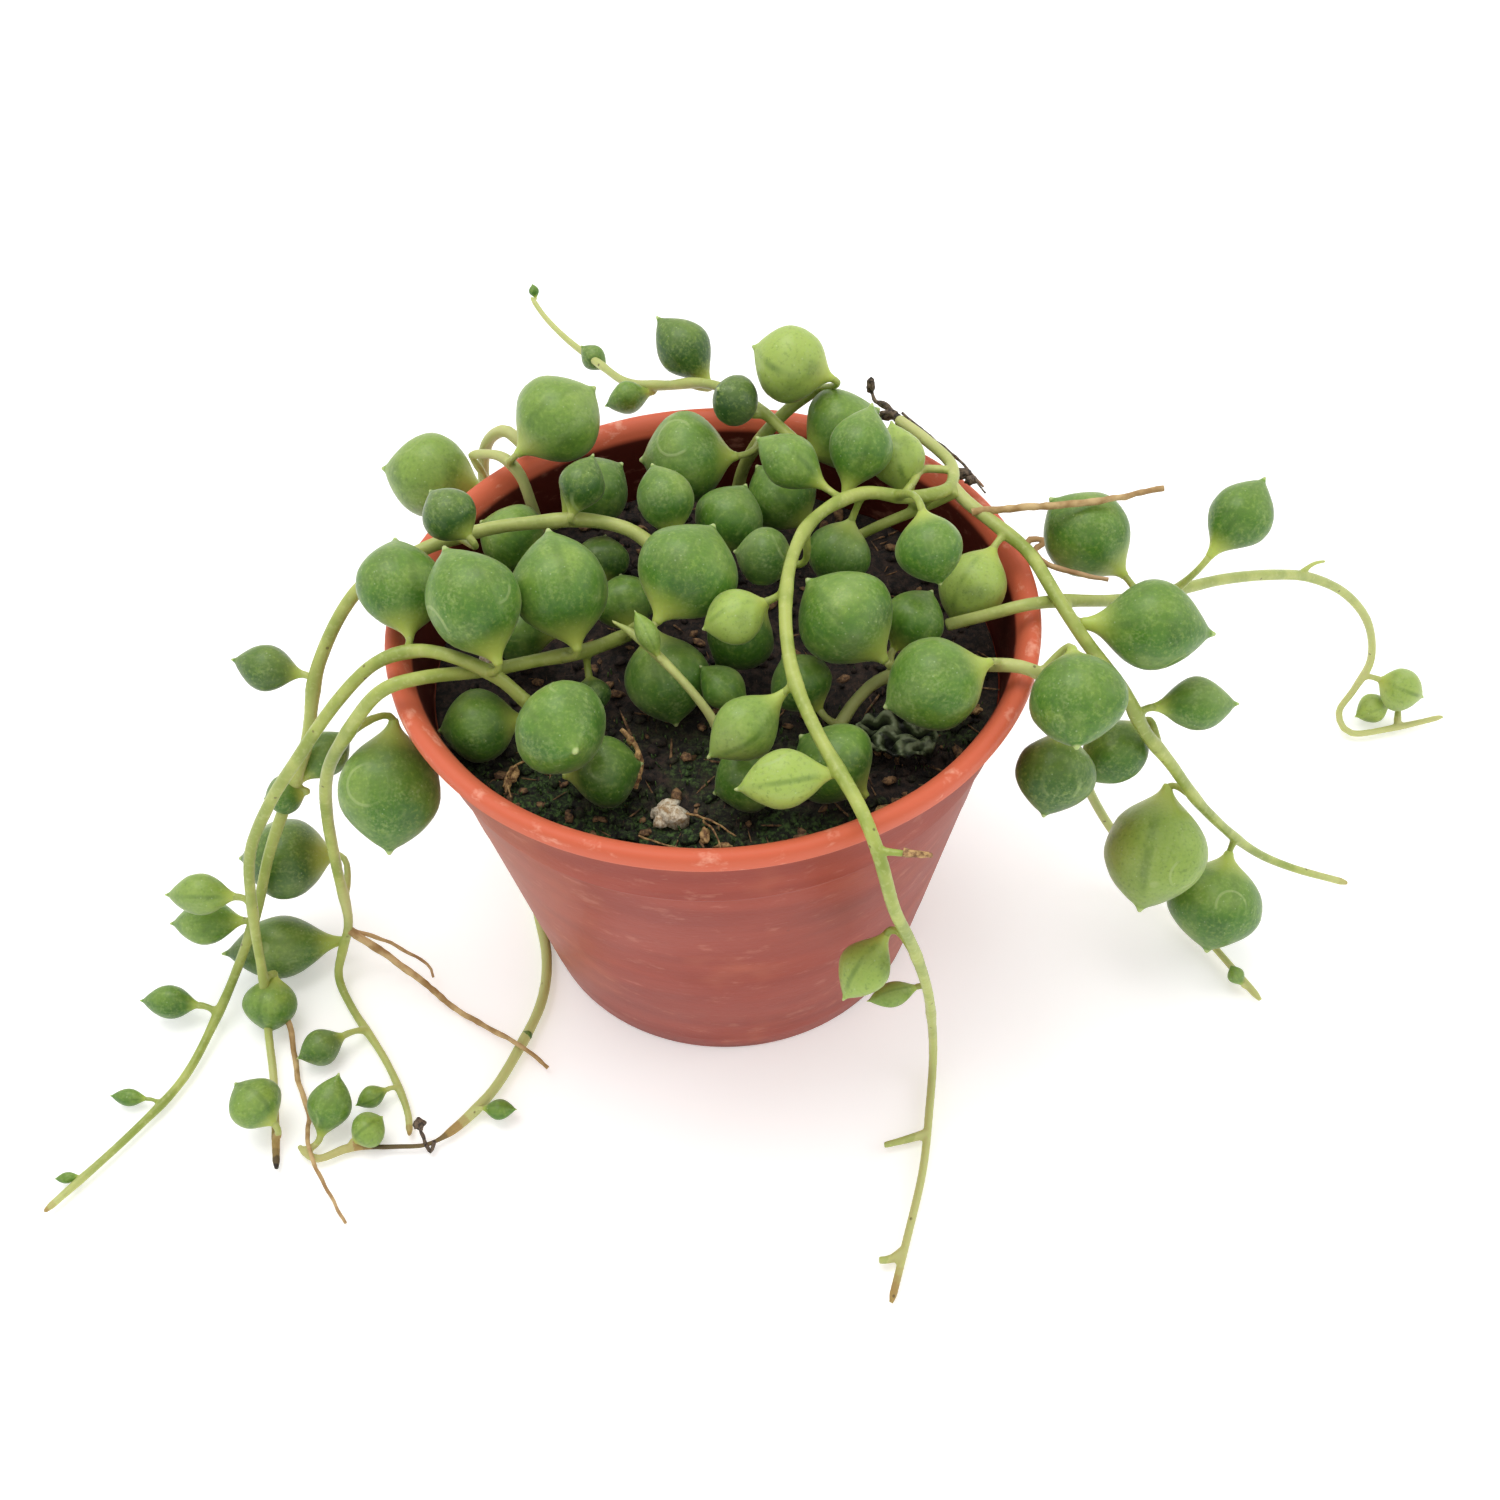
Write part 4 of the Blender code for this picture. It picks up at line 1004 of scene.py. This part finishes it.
def valueAt(share, steps):
    # the age or girth that the steps (share of the length, value) give at a share of the length
    for (a, before), (b, after) in zip(steps, steps[1:]):
        if share <= b:
            return before + (after - before) * (share - a) / (b - a)
    return steps[-1][1]


def remeshed(pieces, name):
    # joins overlapping tubes into one skin with soft joints
    skin = joinAll(pieces)
    skin.name = name
    skin.data.remesh_voxel_size = stemLook["voxel"] * mm
    bpy.ops.object.voxel_remesh()
    bpy.ops.object.modifier_add(type="SMOOTH")
    soften = skin.modifiers[-1]
    soften.factor = 0.6
    soften.iterations = 5
    bpy.ops.object.modifier_apply(modifier=soften.name)
    return skin


def makeStem(name):
    look = stems[name]
    path = smoothRoute(look["route"], stemLook["ring"])
    last = len(path) - 1
    start, end = look["radius"]
    radii = []
    for i, place in enumerate(path):
        share = i / last
        thinned = max(0, share - stemLook["taperFrom"]) / (1 - stemLook["taperFrom"])
        radius = start + (end - start) * thinned + stemLook["allowance"]
        uneven = 1 + stemLook["uneven"] * noise.noise(place / 4)
        radii.append(radius * valueAt(share, look.get("girth", [(0, 1), (1, 1)])) * uneven)
    radii[-1] *= stemLook["tip"]
    rows = leavesOn.get(name, []) + smallLeavesOn.get(name, [])
    swollen = [1.0] * (last + 1)
    stalks = []
    for row in rows:
        neck = leafNeck(row)
        at = min(range(len(path)), key=lambda i: (path[i] - neck).length)
        for k in range(-2, 3):
            if 0 <= at + k <= last:
                swollen[at + k] = max(swollen[at + k], stemLook["node"] - stemLook["nodeFade"] * abs(k))
        stalks.append((row, path[at], radii[at]))
    pieces = [tube(path, [radius * more for radius, more in zip(radii, swollen)])]
    pieces += [stalk(*values) for values in stalks]
    for owner, route, (thick, thin) in branches:
        if owner == name:
            side = smoothRoute(route, 0.8)
            ends = len(side) - 1
            pieces.append(tube(side, [thick + (thin - thick) * i / ends for i in range(ends + 1)]))
    skin = remeshed(pieces, name)
    tree = kdtree.KDTree(len(path))
    for i, place in enumerate(path):
        tree.insert(place * mm, i)
    tree.balance()
    age = skin.data.attributes.new("stemAge", "FLOAT", "POINT")
    for corner, value in zip(skin.data.vertices, age.data):
        near = tree.find(corner.co)
        old = valueAt(near[1] / last, look["age"])
        fresh = min(old, stemLook["stalkAge"])
        value.value = old if near[2] < stemLook["stemReach"] * mm else fresh
    return settle(skin, camel(name, "Stem"), stemSkin, [name])


for name in stems:
    makeStem(name)
print("stems ready")

for owner in leavesOn:
    for number, row in enumerate(leavesOn[owner], 1):
        node = f"{owner}_leaf_{number}"
        leaf = placeLeaf(row)
        settle(leaf, camel(node, "Skin"), leafFlesh, [node])
for owner in smallLeavesOn:
    group = joinAll([placeLeaf(row) for row in smallLeavesOn[owner]])
    settle(group, camel(owner, "SmallLeaves"), leafFlesh, [owner])
for master in leafMasters.values():
    bpy.data.objects.remove(master)
print("leaves ready")


roots = {
    # as for the stems, with the radius and the age at each end, and the node that the root belongs to
    "airRootRight": {
        "route": [(34.5, 10, 67.5), (43.5, 10, 68), (51, 10, 68.5), (60, 12, 68.5)],
        "radius": (0.55, 0.4), "age": (0.5, 0.8), "node": "right_vine",
    },
    "airRootLoop": {
        "route": [
            (40.5, 3.5, 66), (41.5, 4.5, 67), (43, 4.5, 67), (43, 4, 66.5), (42, 3.5, 66), (43.5, 1.5, 65.5),
            (47, 0, 65), (51, -1, 64.5),
        ],
        "radius": (0.45, 0.28), "age": (0.8, 1.1), "node": "right_vine",
    },
    "airRootLong": {
        "route": [(-57, -11.6, 10), (-49, -15.5, 5), (-41, -21, 1.3), (-31, -28.6, 2.9), (-27, -31.5, 1.4)],
        "radius": (0.62, 0.3), "age": (0.3, 0.5), "node": "left_vine_c",
    },
    "airRootShort": {
        "route": [(-57, -11.6, 10), (-52, -11.5, 6.5), (-46, -14, 3.5), (-45, -16, 3)],
        "radius": (0.36, 0.2), "age": (0.4, 1.0), "node": "left_vine_c",
    },
    "airRootFloor": {
        "route": [
            (-68.5, -20, 8), (-65.5, -23.5, 3), (-64.4, -28, 1.3), (-62.8, -33, 1.1), (-61, -37.3, 1),
            (-60, -42, 2.8), (-58.5, -46, 2.6), (-56, -50, 0.7), (-53.5, -54, 0.6),
        ],
        "radius": (0.5, 0.22), "age": (0.5, 0.9), "node": "left_vine_b",
    },
    "airRootRim": {
        "route": [(27.2, 32.8, 66), (31, 28.8, 65.6), (34.6, 23.6, 65.2), (37.4, 18.4, 64.8)],
        "radius": (0.26, 0.16), "age": (0.8, 1.3), "node": "front_vine",
    },
}


def makeRoot(name):
    thick, thin = roots[name]["radius"]
    young, old = roots[name]["age"]
    path = smoothRoute(roots[name]["route"], 0.8)
    last = len(path) - 1
    radii = [(thick + (thin - thick) * i / last) * (1 + 0.2 * noise.noise(p)) for i, p in enumerate(path)]
    piece = tube([p + 0.18 * noise.noise_vector(p / 2.2) for p in path], radii)
    around = len(piece.data.vertices) / len(path)
    age = piece.data.attributes.new("stemAge", "FLOAT", "POINT")
    for i, value in enumerate(age.data):
        value.value = young + (old - young) * min(1, i / around / last)
    return settle(piece, name, rootFibre, [roots[name]["node"]])


for name in roots:
    makeRoot(name)


def dryBit(name, parts, material, node, seed):
    # lumps (place, size) and threads (route, radii) joined in one crumpled piece
    pieces = []
    for place, size in parts.get("lumps", []):
        deselectAll()
        bpy.ops.mesh.primitive_ico_sphere_add(subdivisions=3, radius=1, location=(0, 0, 0))
        lump = bpy.context.object
        for corner in lump.data.vertices:
            swell = 1 + 0.45 * noise.noise(corner.co * 1.9 + Vector((seed, place[0], 0)))
            corner.co = Vector([(c * swell * s + p) * mm for c, s, p in zip(corner.co, size, place)])
        pieces.append(lump)
    for route, radii in parts.get("threads", []):
        path = smoothRoute(route, 0.5)
        ends = len(path) - 1
        wide = [radii[0] + (radii[1] - radii[0]) * i / ends for i in range(ends + 1)]
        pieces.append(tube([p + 0.15 * noise.noise_vector(p / 1.3) for p in path],
                           [w * (1 + 0.3 * noise.noise(p * 0.9)) for w, p in zip(wide, path)]))
    return settle(joinAll(pieces) if len(pieces) > 1 else pieces[0], name, material, [node])


deadTissue = makeCrumb("deadPlantTissue", "#75634f", "#2a211b", 0.75)
paperyHusk = makeCrumb("paperyHusk", "#c09a63", "#6e4a2c", 0.7)
dryBit("driedFlower", {
    "lumps": [((23.4, 37.2, 68.6), (0.6, 0.6, 1.3)), ((25.6, 33.2, 66.4), (1.3, 0.5, 0.9))],
    "threads": [([(27, 32.4, 66), (25.4, 34.4, 67.2), (24, 35.8, 67), (23.5, 36.9, 67.8)], (0.5, 0.22)),
                ([(27.2, 33, 66.2), (25, 35.2, 66.4), (23.8, 36.6, 66.8)], (0.3, 0.2))],
}, deadTissue, "front_vine", 3)
dryBit("driedBud", {
    "lumps": [((-44.1, -41.5, 4.4), (0.85, 0.8, 0.8))],
    "threads": [([(-43.5, -43, 1.6), (-43.8, -42.4, 2.8), (-44, -41.8, 4)], (0.3, 0.22)),
                ([(-42.4, -42.6, 1.6), (-42.8, -44, 1.2), (-43.5, -43, 1.6)], (0.34, 0.3))],
}, deadTissue, "back_runner", 5)
dryBit("rimHusk", {
    "lumps": [((34.5, 19.6, 66.2), (1.2, 0.8, 0.8)), ((35.6, 18.4, 66), (0.9, 0.7, 0.6))],
    "threads": [([(27.6, 33.2, 66.6), (31, 27.8, 66.5), (34.7, 21.6, 66.5), (37, 15.2, 66.3)],
                 (0.2, 0.14))],
}, deadTissue, "front_vine", 8)
dryBit("driedStub", {
    "lumps": [((23.6, -43.9, 63.7), (0.35, 0.3, 0.3))],
    "threads": [([(20.6, -43.7, 64.1), (22.2, -43.9, 64.05), (23.5, -43.9, 63.8)], (0.52, 0.34))],
}, paperyHusk, "front_vine", 17)
dryBit("paperyLeafEdge", {
    "lumps": [((-10.5, -20.3, 58.6), (0.5, 0.4, 0.7)), ((-9.7, -21.6, 57.2), (0.4, 0.5, 0.8)),
              ((-9.8, -23.2, 55.2), (0.4, 0.5, 0.7))],
    "threads": [([(-11.6, -19.6, 60), (-10, -20.6, 58.2), (-9.4, -22.2, 56.2), (-10.4, -24, 54)],
                 (0.3, 0.35))],
}, paperyHusk, "soil_leaf_2", 11)
dryBit("barkShards", {
    "lumps": [((-25.9, -19.3, 52.2), (0.7, 1.3, 0.5)), ((-26.6, -21, 52.2), (0.5, 1.1, 0.4)),
              ((-1.8, -30.3, 52), (0.6, 1.2, 0.5)), ((0.4, -32.2, 52), (1.1, 0.4, 0.5)),
              ((-3.6, -33.8, 51.9), (0.9, 0.5, 0.4)), ((20.5, -27.5, 52), (1.2, 0.8, 0.6)),
              ((33.5, -11, 51.9), (1, 0.8, 0.6)), ((-32.6, 13.5, 52.5), (2.2, 1.4, 1.6)),
              ((-30.5, 15.5, 52.3), (1.3, 0.9, 1.0)), ((27.5, 2, 52), (1, 0.6, 0.5))],
    "threads": [([(-4, -27, 52.3), (-1, -29, 53.2), (2, -31, 52.4)], (0.16, 0.1)),
                ([(-2, -28, 52), (-0.6, -31, 53.4), (0.4, -34, 52.2)], (0.14, 0.08)),
                ([(-24, -17, 52.4), (-26.5, -20, 53.3), (-26, -23, 52.2)], (0.16, 0.1)),
                ([(-10, -30, 52), (-7, -32, 52.8), (-3, -33, 52.2)], (0.15, 0.1))],
}, paperyHusk, "bark_chip", 13)
print("roots ready")


witheredLook = {
    "along": 44,            # faces along and across the sheet
    "across": 30,
    "ridges": 1.5,          # mm
    "crumple": 1.9,         # mm
    "thickness": 0.45,      # mm
    "halfLength": 5.3,      # mm
    "halfWidth": 3.3,       # mm
    "turn": (0.1, -0.12, math.radians(-24)),
    "rise": 1.2,            # mm that the sheet's middle stands over the solid's
}


def makeWitheredLeaf():
    # a flat sheet drawn to a leaf's outline, crumpled into ridges, curled up at its edges and given thickness
    low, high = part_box("withered_leaf")
    middle = (low + high) / 2
    deselectAll()
    bpy.ops.mesh.primitive_grid_add(x_subdivisions=witheredLook["along"],
                                    y_subdivisions=witheredLook["across"], size=2, location=(0, 0, 0))
    piece = bpy.context.object
    length = witheredLook["halfLength"]
    width = witheredLook["halfWidth"]
    crease = piece.data.attributes.new("crease", "FLOAT", "POINT")
    for corner, share in zip(piece.data.vertices, crease.data):
        u, v, _ = corner.co
        wide = math.sqrt(max(0.03, 1 - abs(u) ** 2.2)) * (1 + 0.14 * noise.noise(Vector((u * 2.2, 3, 0))))
        v *= wide
        ridge = abs(noise.noise(Vector((u * 1.9 + v * 0.7, v * 2.7 - u * 0.9, 8))))
        fold = witheredLook["ridges"] * (0.55 - 2.2 * ridge)
        rough = witheredLook["crumple"] * noise.noise(Vector((u * 2.1, v * 2.1, 5)))
        rough += abs(noise.noise(Vector((u * 3.4, v * 4.6, 1))))
        curl = 1.5 * abs(v) ** 3 + 0.7 * abs(u) ** 4
        # ridge height, which the skin turns into painted highlights on the ridges and painted shade in the
        # folds
        share.value = min(1, max(0, 0.3 + fold * 0.72 + rough * 0.12))
        corner.co = Vector((u * length, v * width, fold + rough + curl)) * mm
    bpy.ops.object.modifier_add(type="SOLIDIFY")
    sheet = piece.modifiers[-1]
    sheet.thickness = witheredLook["thickness"] * mm
    sheet.offset = 0
    bpy.ops.object.modifier_apply(modifier=sheet.name)
    bpy.ops.object.modifier_add(type="SUBSURF")
    softer = piece.modifiers[-1]
    softer.levels = 1
    bpy.ops.object.modifier_apply(modifier=softer.name)
    piece.rotation_euler = witheredLook["turn"]
    piece.location = (middle.x, middle.y, middle.z + witheredLook["rise"] * mm)
    return settle(piece, "witheredLeafSheet", witheredSkin, ["withered_leaf"])


makeWitheredLeaf()
print("withered leaf ready")
